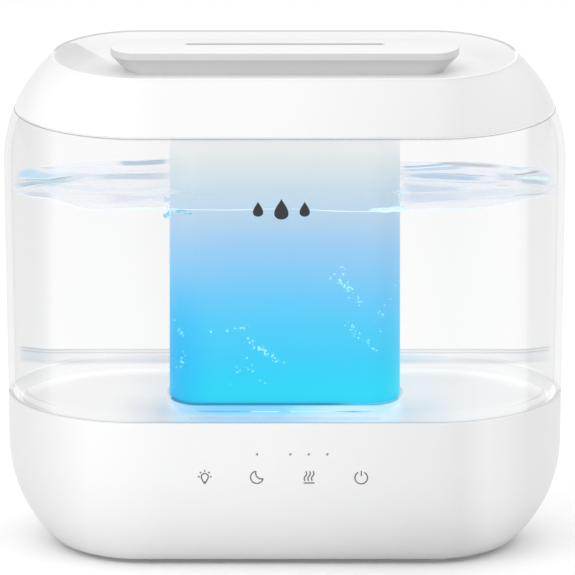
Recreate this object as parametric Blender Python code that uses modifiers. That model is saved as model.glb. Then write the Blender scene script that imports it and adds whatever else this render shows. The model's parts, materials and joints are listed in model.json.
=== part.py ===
"""Cool mist humidifier with a clear top-fill tank, as an assembly of separate parts.

Metres, +Z up. The origin is on the table under the middle of the base, and the control panel faces -Y.
The case is a rounded box in three storeys (base, tank, lid). Every level of it is one plan outline,
straight at the front and back with elliptical ends, drawn in by the inset of the side profile.
"""

import math

import bmesh
import bpy
from mathutils import Matrix, Vector

# ---- case: plan outline and side profile
WIDTH = 0.250
DEPTH = 0.160
END = 0.061  # half-axis along X of the elliptical ends
SIDE_LEAN = 0.0022  # the sides lean out by this from the base to the shoulder
BASE_ARC_Z = 0.047
BASE_ARC_R = 0.059
SHOULDER_Z = 0.172
SHOULDER_R = 0.062
FLOOR_Z = 0.002  # underside of the base; the feet reach down to the table
SEAM_LOW = 0.068
SEAM_HIGH = 0.196
SEAM_GAP = 0.0004
RIM_INSET = 0.023
QUARTER_STEPS = 8

# ---- walls and running gaps
GAP = 0.0003
FIT = 0.0004
BASE_WALL = 0.0025
TANK_WALL = 0.003
LID_WALL = 0.0025
DUCT_WALL = 0.0022
LINER_WALL = 0.0016
NOZZLE_WALL = 0.0018
TRAY_WALL = 0.0022

# ---- base
COVER_INSET = 0.0314
COVER_T = 0.0025
COVER_TOP = FLOOR_Z + COVER_T
FOOT_AT = (0.072, 0.034)
POST_AT = (0.080, 0.030)
POST_BOTTOM = 0.0086
DECK_LOW_Z = 0.0617  # top of the tray, just under the tank
SUMP_Z = 0.033
SUMP_CENTRE = (0.0, 0.021)
SUMP_HALF = (0.050, 0.043)
SUMP_END = 0.016
SUMP_DRAFT = 0.003
FAN_AT = (-0.028, 0.0)
FAN_SIDE = 0.050
FAN_Z = (0.0048, 0.0198)
FAN_BORE = 0.0235
FLARE_HALF = (0.0243, 0.0243)  # the air channel's round foot over the fan
FLARE_END = 0.0220
TOWER_HALF = (0.0120, 0.0150)
TOWER_END = 0.0060
TOWER_Z = (0.0202, 0.0640)
HOOD_HALF = (0.0150, 0.0180)
HOOD_END = 0.0075
HOOD_Z = (0.0600, 0.0690)
TRANSDUCER_AT = (0.018, 0.0)
CLAMP_SCREW_R = 0.0165
FLOAT_AT = (0.032, 0.045)
FLOAT_TRAVEL = 0.004
BOARD_Z = 0.0088
BOARD_T = 0.0016
BOARD_X = (0.012, 0.072)
BOARD_Y = (-0.026, 0.026)
STANDOFF_X = (0.018, 0.066)
STANDOFF_Y = 0.020
LENS_HALF_X = 0.042  # the night light's lens bar, in the deck in front of the sump
LENS_Y = (-0.0380, -0.0334)
JACK_X = 0.064
JACK_Z = 0.038

# ---- control panel
ICON_Z = 0.0436
ICON_PITCH = 0.0231
ICON_CENTRE = -0.0008
ICONS = ("light", "sleep", "mist", "power")
LAMP_Z = 0.054
LAMP_PITCH = 0.0082
LAMP_HOLE_R = 0.0006
PANEL_BOARD_Y = -0.0705

# ---- tank
TANK_STEP = 0.0048  # how far the plug of the tank stands in from its wall
TANK_FLOOR_Z = 0.0625
DUCT_HALF = (0.0513, 0.026)
DUCT_END = 0.0125
DUCT_Z = (0.0629, 0.2015)
VALVE_AT = (0.0, 0.050)
VALVE_HOLE_R = 0.0108
VALVE_LIFT = 0.005

# ---- lid and nozzle
DECK_Z = 0.2125
NECK_INSET = 0.0119  # the tank's mouth rises inside the lid from a sloping ledge at the upper seam
LEDGE_DROP = 0.0028
NECK_TOP = 0.2032
LINER_Z = 0.2052
LINER_EDGE = 0.0131
SKIRT_BOTTOM = 0.1975
GASKET_R = 0.0013
GASKET_FIT = 0.0002
GASKET_INSET = NECK_INSET + TANK_WALL + GASKET_FIT + GASKET_R
SKIRT_INSET = GASKET_INSET + GASKET_R + GASKET_FIT
GASKET_Z = 0.2003
COLLAR_INSET = 0.0054  # the liner's collar hangs inside the duct
NOZZLE_TOP = 0.223
NOZZLE_HALF = (0.0776, 0.020)
NOZZLE_END = 0.012
NOZZLE_LIP = 0.0034
STEM_HALF = (0.0708, 0.0132)
STEM_END = 0.009
SPIGOT_HALF = (0.066, 0.0095)
SPIGOT_END = 0.008
SPIGOT_Z = 0.2074
SLOT_HALF_X = 0.0445
SLOT_Y = (0.0048, 0.0093)
NOZZLE_SCREW_X = 0.060

PARTS = "cool_mist_humidifier"
CUTTERS = "cutters"


# ---------------------------------------------------------------- tools
def clear_scene():
    for obj in list(bpy.data.objects):
        bpy.data.objects.remove(obj)


def collection(name):
    found = bpy.data.collections.get(name)
    if found is None:
        found = bpy.data.collections.new(name)
        bpy.context.scene.collection.children.link(found)
    return found


def material(name, colour, roughness, metallic=0.0, alpha=1.0):
    found = bpy.data.materials.get(name)
    if found is None:
        found = bpy.data.materials.new(name)
        found.use_nodes = True
        shader = found.node_tree.nodes["Principled BSDF"]
        shader.inputs["Base Color"].default_value = (*colour, 1.0)
        shader.inputs["Roughness"].default_value = roughness
        shader.inputs["Metallic"].default_value = metallic
        shader.inputs["Alpha"].default_value = alpha
    return found


def white():
    return material("white_plastic", (0.90, 0.90, 0.91), 0.30)


def inner_white():
    return material("inner_plastic", (0.82, 0.82, 0.83), 0.50)


def clear():
    return material("clear_plastic", (0.93, 0.96, 0.98), 0.05, alpha=0.25)


def frosted():
    return material("frosted_plastic", (0.45, 0.78, 0.98), 0.45, alpha=0.85)


def rubber():
    return material("silicone", (0.60, 0.62, 0.64), 0.75)


def black():
    return material("black_plastic", (0.03, 0.03, 0.03), 0.45)


def steel():
    return material("steel", (0.70, 0.71, 0.72), 0.28, 1.0)


def aluminium():
    return material("aluminium", (0.78, 0.79, 0.80), 0.40, 1.0)


def copper():
    return material("copper", (0.80, 0.42, 0.22), 0.35, 1.0)


def board_green():
    return material("circuit_board", (0.03, 0.20, 0.10), 0.40)


def add(obj, paint, smooth_angle=35.0):
    """Puts a finished object in the part's collection, with its material and smooth shading."""
    for old in obj.users_collection:
        old.objects.unlink(obj)
    collection(PARTS).objects.link(obj)
    obj.data.materials.clear()
    obj.data.materials.append(paint)
    if obj.type == "MESH":
        obj.data.shade_smooth()
        obj.data.set_sharp_from_angle(angle=math.radians(smooth_angle))
    return obj


def as_cutter(obj):
    for old in obj.users_collection:
        old.objects.unlink(obj)
    collection(CUTTERS).objects.link(obj)
    obj.hide_render = True
    obj.display_type = "WIRE"
    return obj


def boolean(obj, other, operation):
    modifier = obj.modifiers.new(f"{operation.lower()}_{other.name}", "BOOLEAN")
    modifier.operation = operation
    modifier.object = other
    return obj


def cut(obj, *cutters):
    for other in cutters:
        boolean(obj, as_cutter(other), "DIFFERENCE")
    return obj


def join(obj, *others):
    for other in others:
        boolean(obj, as_cutter(other), "UNION")
    return obj


def shell(obj, wall):
    """Gives an open skin a wall on the side away from its normals."""
    modifier = obj.modifiers.new("wall", "SOLIDIFY")
    modifier.thickness = wall
    modifier.offset = -1.0
    modifier.use_even_offset = True
    return obj


def outline(half_width, half_depth, end, inset=0.0, centre=(0.0, 0.0)):
    """Plan points, anticlockwise: straight front and back, elliptical ends, drawn in along the normals."""
    points = []
    straight = half_width - end
    for side in (1, -1):
        for i in range(2 * QUARTER_STEPS + 1):
            angle = math.pi * (i / (2 * QUARTER_STEPS) - 0.5)
            x, y = end * math.cos(angle), half_depth * math.sin(angle)
            normal = Vector((math.cos(angle) / end, math.sin(angle) / half_depth)).normalized()
            x += straight - inset * normal.x
            y -= inset * normal.y
            points.append((centre[0] + side * x, centre[1] + side * y))
    return points


def case_inset(z):
    """How far the outer skin of the case stands in from its widest outline at height z."""
    if z < BASE_ARC_Z:
        return SIDE_LEAN + BASE_ARC_R - math.sqrt(BASE_ARC_R**2 - (BASE_ARC_Z - z) ** 2)
    if z <= SHOULDER_Z:
        return SIDE_LEAN * (SHOULDER_Z - z) / (SHOULDER_Z - BASE_ARC_Z)
    return SHOULDER_R - math.sqrt(SHOULDER_R**2 - (z - SHOULDER_Z) ** 2)


def case_ring(inset, z):
    return [(x, y, z) for x, y in outline(WIDTH / 2, DEPTH / 2, END, inset)]


def ring(half, end, z, inset=0.0, centre=(0.0, 0.0)):
    return [(x, y, z) for x, y in outline(half[0], half[1], end, inset, centre)]


def loft(name, rings, first_cap=False, last_cap=False):
    """A skin through rings of equal length. Going up or inwards, its normals face out or up."""
    mesh = bmesh.new()
    loops = [[mesh.verts.new(point) for point in points] for points in rings]
    for low, high in zip(loops, loops[1:]):
        for i in range(len(low)):
            mesh.faces.new((low[i - 1], low[i], high[i], high[i - 1]))
    if first_cap:
        mesh.faces.new(loops[0][::-1])
    if last_cap:
        mesh.faces.new(loops[-1])
    data = bpy.data.meshes.new(name)
    mesh.to_mesh(data)
    mesh.free()
    obj = bpy.data.objects.new(name, data)
    collection(PARTS).objects.link(obj)
    return obj


def slab(name, half, end, z, centre=(0.0, 0.0), inset=0.0):
    """A flat plate of one outline between two heights."""
    rings = [ring(half, end, level, inset, centre) for level in z]
    return loft(name, rings, first_cap=True, last_cap=True)


def box(name, x, y, z):
    bpy.ops.mesh.primitive_cube_add(size=1.0)
    obj = bpy.context.object
    obj.name = name
    size = Vector((x[1] - x[0], y[1] - y[0], z[1] - z[0]))
    middle = Vector((sum(x) / 2, sum(y) / 2, sum(z) / 2))
    obj.data.transform(Matrix.Translation(middle) @ Matrix.Diagonal((*size, 1.0)))
    return obj


def cylinder(name, radius, z, at=(0.0, 0.0), segments=20):
    bpy.ops.mesh.primitive_cylinder_add(
        radius=radius, depth=z[1] - z[0], vertices=segments, location=(*at, sum(z) / 2)
    )
    obj = bpy.context.object
    obj.name = name
    return obj


def turned(name, profile, at=(0.0, 0.0), steps=20):
    """A turned solid. The profile of (radius, z) runs down its outer side, and closes if it misses the axis."""
    mesh = bmesh.new()
    points = [mesh.verts.new((radius, 0.0, z)) for radius, z in profile]
    pairs = list(zip(points, points[1:]))
    if profile[0][0] > 0.0:
        pairs.append((points[-1], points[0]))
    for pair in pairs:
        mesh.edges.new(pair)
    data = bpy.data.meshes.new(name)
    mesh.to_mesh(data)
    mesh.free()
    obj = bpy.data.objects.new(name, data)
    obj.location = (*at, 0.0)
    collection(PARTS).objects.link(obj)
    screw = obj.modifiers.new("turn", "SCREW")
    screw.steps = steps
    screw.render_steps = steps
    screw.use_merge_vertices = True
    screw.merge_threshold = 1e-5
    return obj


def tube(name, points, radius, cyclic=False, resolution=2):
    """A round bar or wire along points."""
    curve = bpy.data.curves.new(name, "CURVE")
    curve.dimensions = "3D"
    curve.bevel_depth = radius
    curve.bevel_resolution = resolution
    curve.use_fill_caps = not cyclic
    spline = curve.splines.new("POLY")
    spline.points.add(len(points) - 1)
    for target, point in zip(spline.points, points):
        target.co = (*point, 1.0)
    spline.use_cyclic_u = cyclic
    obj = bpy.data.objects.new(name, curve)
    collection(PARTS).objects.link(obj)
    return obj


def smooth_route(knots, per_span=5):
    """Points of a Catmull-Rom curve through the knots."""
    ends = [Vector(knots[0]) * 2 - Vector(knots[1]), Vector(knots[-1]) * 2 - Vector(knots[-2])]
    knots = [ends[0], *map(Vector, knots), ends[1]]
    points = []
    for a, b, c, d in zip(knots, knots[1:], knots[2:], knots[3:]):
        for i in range(per_span):
            t = i / per_span
            points.append(
                0.5 * (2 * b + (c - a) * t + (2 * a - 5 * b + 4 * c - d) * t**2 + (3 * b - a - 3 * c + d) * t**3)
            )
    return [*points, knots[-2]]


def screw(name, at, head_z, tip_z, head_r=0.0026, shank_r=0.0013):
    """A pan-head screw, head down, with a cross recess."""
    head_t = 0.0016
    rim = 0.0004
    recess = (0.0016, 0.0003)  # half-length and half-width of one arm
    profile = [
        (0.0, tip_z),
        (shank_r * 0.6, tip_z),
        (shank_r, tip_z - shank_r),
        (shank_r, head_z + head_t),
        (head_r, head_z + head_t),
        (head_r, head_z + rim),
        (head_r - rim, head_z),
        (0.0, head_z),
    ]
    obj = turned(name, profile, at, steps=12)
    depth = (head_z - rim, head_z + head_t * 0.6)
    for along, across in (recess, recess[::-1]):
        arm = box(
            f"{name}_recess_{along > across}",
            (at[0] - along, at[0] + along),
            (at[1] - across, at[1] + across),
            depth,
        )
        cut(obj, arm)
    return add(obj, steel())


def corners(at):
    return [(sx * at[0], sy * at[1]) for sx in (-1, 1) for sy in (-1, 1)]


# ---------------------------------------------------------------- base
def base_shell():
    """The white lower casing: flat flange underneath, rounded side, open top rim."""
    arc_top = 6
    start_z = FLOOR_Z + 0.0009
    levels = [start_z + (BASE_ARC_Z - start_z) * i / arc_top for i in range(arc_top + 1)]
    rings = [
        case_ring(COVER_INSET - FIT, FLOOR_Z),
        case_ring(case_inset(FLOOR_Z) + 0.0012, FLOOR_Z),
        *[case_ring(case_inset(z), z) for z in [*levels, SEAM_LOW - SEAM_GAP / 2]],
    ]
    obj = shell(loft("base_shell", rings), BASE_WALL)
    front = -DEPTH / 2
    for i, x in enumerate(lamp_places()):
        hole = cylinder(f"lamp_hole_{i + 1}", LAMP_HOLE_R, (-0.01, 0.01), segments=10)
        hole.rotation_euler.x = math.pi / 2
        hole.location = (x, front, LAMP_Z)
        cut(obj, hole)
    jack_hole = cylinder("jack_hole", 0.0048, (-0.01, 0.01), segments=20)
    jack_hole.rotation_euler.x = math.pi / 2
    jack_hole.location = (JACK_X, -front, JACK_Z)
    cut(obj, jack_hole)
    return add(obj, white())


def bottom_cover():
    """The plate that closes the base, with the fan's air inlet, screw cups and board standoffs."""
    slots = 8
    slot_pitch = 0.005
    slot_half = (0.0014, 0.020)
    obj = slab("bottom_cover", (WIDTH / 2, DEPTH / 2), END, (FLOOR_Z, COVER_TOP), inset=COVER_INSET)
    for i, at in enumerate(corners(POST_AT)):
        cup_top = POST_BOTTOM - FIT
        join(obj, cylinder(f"cup_{i}", 0.0050, (FLOOR_Z + 0.0008, cup_top), at, 16))
        cut(obj, cylinder(f"cup_bore_{i}", 0.0031, (FLOOR_Z - 0.001, FLOOR_Z + 0.0034), at, 16))
        cut(obj, cylinder(f"cup_hole_{i}", 0.0017, (FLOOR_Z, cup_top + 0.001), at, 12))
    for i, at in enumerate([(x, sy * STANDOFF_Y) for x in STANDOFF_X for sy in (-1, 1)]):
        join(obj, cylinder(f"standoff_{i}", 0.0024, (FLOOR_Z + 0.001, BOARD_Z - GAP), at, 12))
    for i, at in enumerate(corners(FOOT_AT)):
        cut(obj, cylinder(f"foot_hole_{i}", 0.0028, (0.0, 0.010), at, 12))
    for i in range(slots):
        x = FAN_AT[0] + (i - (slots - 1) / 2) * slot_pitch
        slot = box(
            f"inlet_slot_{i}",
            (x - slot_half[0], x + slot_half[0]),
            (FAN_AT[1] - slot_half[1], FAN_AT[1] + slot_half[1]),
            (0.0, 0.010),
        )
        cut(obj, slot)
    return add(obj, inner_white())


def feet():
    """Four push-in rubber feet."""
    pad_r, stem_r, lip_r = 0.0070, 0.0024, 0.0034
    top = COVER_TOP + 0.0016
    profile = [
        (0.0, top),
        (stem_r, top),
        (lip_r, COVER_TOP + GAP),
        (stem_r, COVER_TOP + GAP),
        (stem_r, FLOOR_Z - GAP),
        (pad_r, FLOOR_Z - GAP),
        (pad_r, 0.0004),
        (pad_r - 0.0004, 0.0),
        (0.0, 0.0),
    ]
    for i, at in enumerate(corners(FOOT_AT)):
        add(turned(f"rubber_foot_{i + 1}", profile, at, steps=20), rubber())


def cover_screws():
    for i, at in enumerate(corners(POST_AT)):
        screw(f"cover_screw_{i + 1}", at, FLOOR_Z + 0.0016, 0.020)


def reservoir_tray():
    """The deck under the tank with its sump, hanging screw posts and the openings of the working parts."""
    deck_inset = case_inset(DECK_LOW_Z) + BASE_WALL + FIT
    deck_under = DECK_LOW_Z - TRAY_WALL
    sump = [
        ring(SUMP_HALF, SUMP_END, DECK_LOW_Z, centre=SUMP_CENTRE),
        ring(SUMP_HALF, SUMP_END, SUMP_Z, SUMP_DRAFT, SUMP_CENTRE),
    ]
    obj = loft("reservoir_tray", [case_ring(deck_inset, DECK_LOW_Z), *sump], last_cap=True)
    shell(obj, TRAY_WALL)
    for i, at in enumerate(corners(POST_AT)):
        join(obj, cylinder(f"post_{i}", 0.0036, (POST_BOTTOM, deck_under + 0.001), at, 14))
        cut(obj, cylinder(f"post_pilot_{i}", 0.0016, (POST_BOTTOM - 0.001, 0.022), at, 12))
    for i, at in enumerate(clamp_screw_places()):
        join(obj, cylinder(f"clamp_boss_{i}", 0.0026, (0.0277, SUMP_Z - 0.001), at, 12))
        cut(obj, cylinder(f"clamp_pilot_{i}", 0.0013, (0.0267, 0.0310), at, 10))
    for i, x in enumerate((-0.044, 0.044)):
        rib = box(
            f"panel_rib_{i}",
            (x - 0.0015, x + 0.0015),
            (PANEL_BOARD_Y + BOARD_T + GAP, PANEL_BOARD_Y + BOARD_T + 0.004),
            (0.040, deck_under + 0.001),
        )
        join(obj, rib)
    through = (SUMP_Z - 0.010, SUMP_Z + 0.010)
    cut(obj, cylinder("transducer_window", 0.0105, through, TRANSDUCER_AT, 24))
    cut(obj, slab("tower_hole", TOWER_HALF, TOWER_END, through, FAN_AT, inset=-FIT))
    lens_hole = box(
        "lens_hole",
        (-LENS_HALF_X - GAP, LENS_HALF_X + GAP),
        (LENS_Y[0] - GAP, LENS_Y[1] + GAP),
        (deck_under - 0.005, DECK_LOW_Z + 0.005),
    )
    cut(obj, lens_hole)
    return add(obj, inner_white())


# ---------------------------------------------------------------- mist maker
def clamp_screw_places():
    turn = [math.radians(90 + 120 * i) for i in range(3)]
    x, y = TRANSDUCER_AT
    return [(x + CLAMP_SCREW_R * math.cos(a), y + CLAMP_SCREW_R * math.sin(a)) for a in turn]


def transducer():
    """The ultrasonic disc in its rubber ring, held up against the sump floor by a clamp and three screws."""
    disc_r = 0.0100
    add(cylinder("transducer_disc", disc_r, (0.0286, 0.0297), TRANSDUCER_AT, 28), steel())
    seal = [
        (0.0134, SUMP_Z - TRAY_WALL - GAP),
        (0.0134, 0.0276),
        (0.0080, 0.0276),
        (0.0080, 0.0283),
        (disc_r + GAP, 0.0283),
        (disc_r + GAP, 0.0300),
        (0.0088, 0.0300),
        (0.0088, SUMP_Z - TRAY_WALL - GAP),
    ]
    add(turned("transducer_seal", seal, TRANSDUCER_AT, 28), rubber())
    clamp_z = (0.0250, 0.0273)
    clamp = cylinder("transducer_clamp", 0.0142, clamp_z, TRANSDUCER_AT, 28)
    for i, at in enumerate(clamp_screw_places()):
        join(clamp, cylinder(f"clamp_ear_{i}", 0.0034, (clamp_z[0] + 0.0002, clamp_z[1] - 0.0002), at, 14))
        cut(clamp, cylinder(f"clamp_ear_hole_{i}", 0.0014, (0.020, 0.030), at, 10))
    cut(clamp, cylinder("clamp_bore", 0.0086, (0.020, 0.030), TRANSDUCER_AT, 28))
    add(clamp, aluminium())
    for i, at in enumerate(clamp_screw_places()):
        screw(f"clamp_screw_{i + 1}", at, clamp_z[0] - 0.0019, 0.0302, head_r=0.0021, shank_r=0.0010)


# ---------------------------------------------------------------- air path
def fan():
    """A small axial fan on the bottom cover: square frame with struts and pin, and a seven-blade rotor."""
    x, y = FAN_AT
    half = FAN_SIDE / 2
    pin_r, hub_r = 0.0015, 0.0095
    strut_top = FAN_Z[0] + 0.0018
    frame = box("fan_frame", (x - half, x + half), (y - half, y + half), FAN_Z)
    cut(frame, cylinder("fan_bore", FAN_BORE, (FAN_Z[0] - 0.002, FAN_Z[1] + 0.002), FAN_AT, 32))
    bar = 0.0014
    reach = FAN_BORE + 0.0012
    join(frame, box("strut_x", (x - reach, x + reach), (y - bar, y + bar), (FAN_Z[0] + 0.0002, strut_top)))
    join(frame, box("strut_y", (x - bar, x + bar), (y - reach, y + reach), (FAN_Z[0] + 0.0002, strut_top)))
    join(frame, cylinder("motor_plate", hub_r, (FAN_Z[0] + 0.0001, strut_top + 0.0002), FAN_AT, 20))
    join(frame, cylinder("fan_pin", pin_r, (strut_top - 0.001, 0.0160), FAN_AT, 16))
    add(frame, black())

    hub_z = (0.0074, 0.0184)
    running_fit = 0.00008
    blades, blade_pitch = 7, math.radians(38)
    chord, thick = 0.0100, 0.0012
    root, tip = hub_r - 0.0015, FAN_BORE - 0.0010
    hub = [
        (0.0, hub_z[1]),
        (hub_r - 0.0008, hub_z[1]),
        (hub_r, hub_z[1] - 0.0008),
        (hub_r, hub_z[0]),
        (pin_r + running_fit, hub_z[0]),
        (pin_r + running_fit, 0.0164),
        (0.0, 0.0164),
    ]
    rotor = turned("fan_rotor", hub, FAN_AT, steps=28)
    fins = bmesh.new()
    for i in range(blades):
        place = (
            Matrix.Rotation(2 * math.pi * i / blades, 4, "Z")
            @ Matrix.Translation(((root + tip) / 2, 0.0, sum(hub_z) / 2))
            @ Matrix.Rotation(blade_pitch, 4, "X")
            @ Matrix.Diagonal((tip - root, chord, thick, 1.0))
        )
        bmesh.ops.create_cube(fins, size=1.0, matrix=place)
    data = bpy.data.meshes.new("fan_blades")
    fins.to_mesh(data)
    fins.free()
    blade_set = bpy.data.objects.new("fan_blades", data)
    blade_set.location = (*FAN_AT, 0.0)
    join(rotor, blade_set)
    add(rotor, black())


def air_tower():
    """The air channel from the round fan up through the sump floor, and the hood that keeps drops out of it."""
    tower = loft(
        "air_tower",
        [
            ring(FLARE_HALF, FLARE_END, TOWER_Z[0], centre=FAN_AT),
            ring(FLARE_HALF, FLARE_END, TOWER_Z[0] + 0.0016, centre=FAN_AT),
            ring(TOWER_HALF, TOWER_END, 0.0295, centre=FAN_AT),
            ring(TOWER_HALF, TOWER_END, TOWER_Z[1], centre=FAN_AT),
        ],
    )
    add(shell(tower, 0.0016), inner_white())
    hood = loft(
        "air_hood",
        [
            ring(HOOD_HALF, HOOD_END, HOOD_Z[0], centre=FAN_AT),
            ring(HOOD_HALF, HOOD_END, HOOD_Z[1] - 0.002, centre=FAN_AT),
            ring(HOOD_HALF, HOOD_END, HOOD_Z[1], 0.002, centre=FAN_AT),
        ],
        last_cap=True,
    )
    shell(hood, 0.0014)
    x, y = FAN_AT
    for i, dy in enumerate((-0.008, 0.008)):
        rib = box(
            f"hood_rib_{i}",
            (x - HOOD_HALF[0] + 0.001, x + HOOD_HALF[0] - 0.001),
            (y + dy - 0.0006, y + dy + 0.0006),
            (TOWER_Z[1] + GAP, HOOD_Z[1] - 0.0007),
        )
        join(hood, rib)
    add(hood, inner_white())


# ---------------------------------------------------------------- water level
def float_switch():
    """A float with a ring magnet that rides up a post, and the sensor under the sump that reads it."""
    post_r, float_r = 0.0020, 0.0100
    body_z = (0.0362, 0.0480)
    cap_z = body_z[1] + FLOAT_TRAVEL + GAP
    guide = [
        (0.0, cap_z + 0.0012),
        (post_r, cap_z + 0.0012),
        (post_r, 0.0356),
        (0.0050, 0.0356),
        (0.0050, SUMP_Z + GAP),
        (0.0, SUMP_Z + GAP),
    ]
    add(turned("float_guide", guide, FLOAT_AT, 16), inner_white())
    retainer = [
        (0.0, cap_z + 0.0030),
        (0.0036, cap_z + 0.0030),
        (0.0044, cap_z + 0.0022),
        (0.0044, cap_z),
        (post_r + GAP, cap_z),
        (post_r + GAP, cap_z + 0.0012 + GAP),
        (0.0, cap_z + 0.0012 + GAP),
    ]
    add(turned("float_retainer", retainer, FLOAT_AT, 16), inner_white())
    bore = post_r + 0.0005
    ring_out, ring_in, ring_top = 0.0070, 0.0036, 0.0384
    body = [
        (float_r - 0.001, body_z[1]),
        (float_r, body_z[1] - 0.001),
        (float_r, body_z[0] + 0.001),
        (float_r - 0.001, body_z[0]),
        (ring_out + GAP, body_z[0]),
        (ring_out + GAP, ring_top + GAP),
        (ring_in - GAP, ring_top + GAP),
        (ring_in - GAP, body_z[0]),
        (bore, body_z[0]),
        (bore, body_z[1]),
    ]
    add(turned("float_body", body, FLOAT_AT, 24), inner_white())
    magnet = [(ring_out, ring_top), (ring_out, body_z[0]), (ring_in, body_z[0]), (ring_in, ring_top)]
    add(turned("float_magnet", magnet, FLOAT_AT, 20), black())
    x, y = FLOAT_AT
    under = SUMP_Z - TRAY_WALL
    add(box("level_sensor", (x - 0.008, x + 0.008), (y - 0.005, y + 0.005), (under - 0.0042, under - GAP)), black())


# ---------------------------------------------------------------- electronics
def main_board():
    """The driver board on its standoffs, with a finned heat sink, a capacitor and a choke."""
    add(box("main_board", BOARD_X, BOARD_Y, (BOARD_Z, BOARD_Z + BOARD_T)), board_green())
    low = BOARD_Z + BOARD_T + GAP
    sink_x, sink_y, sink_top = (0.048, 0.060), (-0.016, 0.016), 0.0235
    plate_t, fins = 0.0022, 6
    sink = box("heat_sink", sink_x, sink_y, (low, low + plate_t))
    for i in range(fins):
        y = sink_y[0] + 0.001 + (sink_y[1] - sink_y[0] - 0.002) * i / (fins - 1)
        fin = box(f"fin_{i}", sink_x, (y - 0.0006, y + 0.0006), (low + plate_t / 2, sink_top))
        fin.scale.x = 0.98
        fin.location.x = sum(sink_x) / 2 * (1 - fin.scale.x)
        join(sink, fin)
    add(sink, aluminium())
    can = [(0.0, 0.0225), (0.0046, 0.0225), (0.0050, 0.0220), (0.0050, low), (0.0, low)]
    add(turned("capacitor", can, (0.028, 0.010), 20), black())
    choke = [(0.0068, low + 0.0060), (0.0068, low), (0.0030, low), (0.0030, low + 0.0060)]
    add(turned("choke", choke, (0.029, -0.012), 20), copper())


def panel_x(index):
    return ICON_CENTRE + (index - (len(ICONS) - 1) / 2) * ICON_PITCH


def lamp_places():
    """One lamp over the sleep key and three over the mist key."""
    return [panel_x(1), *[panel_x(2) + step * LAMP_PITCH for step in (-1, 0, 1)]]


def control_panel():
    """The touch board behind the front wall, its four pads and the light guide of the four lamps."""
    board_x, board_z = (-0.052, 0.052), (0.033, 0.0585)
    add(box("control_board", board_x, (PANEL_BOARD_Y, PANEL_BOARD_Y + BOARD_T), board_z), board_green())
    pad_y = (-0.0742, PANEL_BOARD_Y - GAP)
    for i, key in enumerate(ICONS):
        pad = cylinder(f"touch_pad_{key}", 0.0045, pad_y, segments=20)
        pad.data.transform(Matrix.Rotation(math.pi / 2, 4, "X"))
        pad.location = (panel_x(i), sum(pad_y) / 2, ICON_Z)
        add(pad, copper())
    places = lamp_places()
    bar_y = (-0.0744, PANEL_BOARD_Y - GAP)
    guide = box("lamp_light_guide", (places[0] - 0.003, places[-1] + 0.003), bar_y, (LAMP_Z - 0.002, LAMP_Z + 0.002))
    face = -DEPTH / 2 + case_inset(LAMP_Z)
    for i, x in enumerate(places):
        length = bar_y[0] + 0.001 - face
        pin = cylinder(f"guide_pin_{i}", LAMP_HOLE_R - 0.00015, (-length / 2, length / 2), segments=10)
        pin.rotation_euler.x = math.pi / 2
        pin.location = (x, face + length / 2, LAMP_Z)
        join(guide, pin)
    add(guide, clear())


def night_light():
    """A row of lamps under a frosted lens bar in the deck, which lights the duct from below."""
    board_z = (0.0555, 0.0567)
    lamps = 6
    board = box("night_light_board", (-0.044, 0.044), (LENS_Y[0] - 0.0015, LENS_Y[1] + 0.0015), board_z)
    middle = sum(LENS_Y) / 2
    for i in range(lamps):
        x = -LENS_HALF_X + 0.005 + (2 * LENS_HALF_X - 0.010) * i / (lamps - 1)
        lamp = box(
            f"lamp_{i}",
            (x - 0.0016, x + 0.0016),
            (middle - 0.0014, middle + 0.0014),
            (board_z[0] + 0.0005, board_z[1] + 0.0010),
        )
        join(board, lamp)
    add(board, inner_white())
    lens = box("night_light_lens", (-LENS_HALF_X, LENS_HALF_X), LENS_Y, (0.0580, DECK_LOW_Z + 0.0002))
    add(lens, frosted())


def dc_jack():
    """The power inlet in the back wall: a socket with its centre pin."""
    face = DEPTH / 2 - case_inset(JACK_Z)
    length, bore_depth = 0.0140, 0.0095
    bore_r, barrel_r, body_r = 0.0031, 0.0044, 0.0060
    barrel = 0.0047
    socket = [
        (barrel_r, length),
        (barrel_r, length - barrel),
        (body_r, length - barrel),
        (body_r, 0.0),
        (0.0, 0.0),
        (0.0, length - bore_depth),
        (bore_r, length - bore_depth),
        (bore_r, length),
    ]
    jack = turned("dc_jack", socket, steps=20)
    pin = turned(
        "dc_jack_pin",
        [
            (0.0, length - 0.0012),
            (0.0007, length - 0.0012),
            (0.0010, length - 0.0018),
            (0.0010, length - bore_depth + GAP),
            (0.0, length - bore_depth + GAP),
        ],
        steps=12,
    )
    for obj, paint in ((jack, black()), (pin, steel())):
        obj.rotation_euler.x = -math.pi / 2
        obj.location = (JACK_X, face - length - 0.0003, JACK_Z)
        add(obj, paint)


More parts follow.
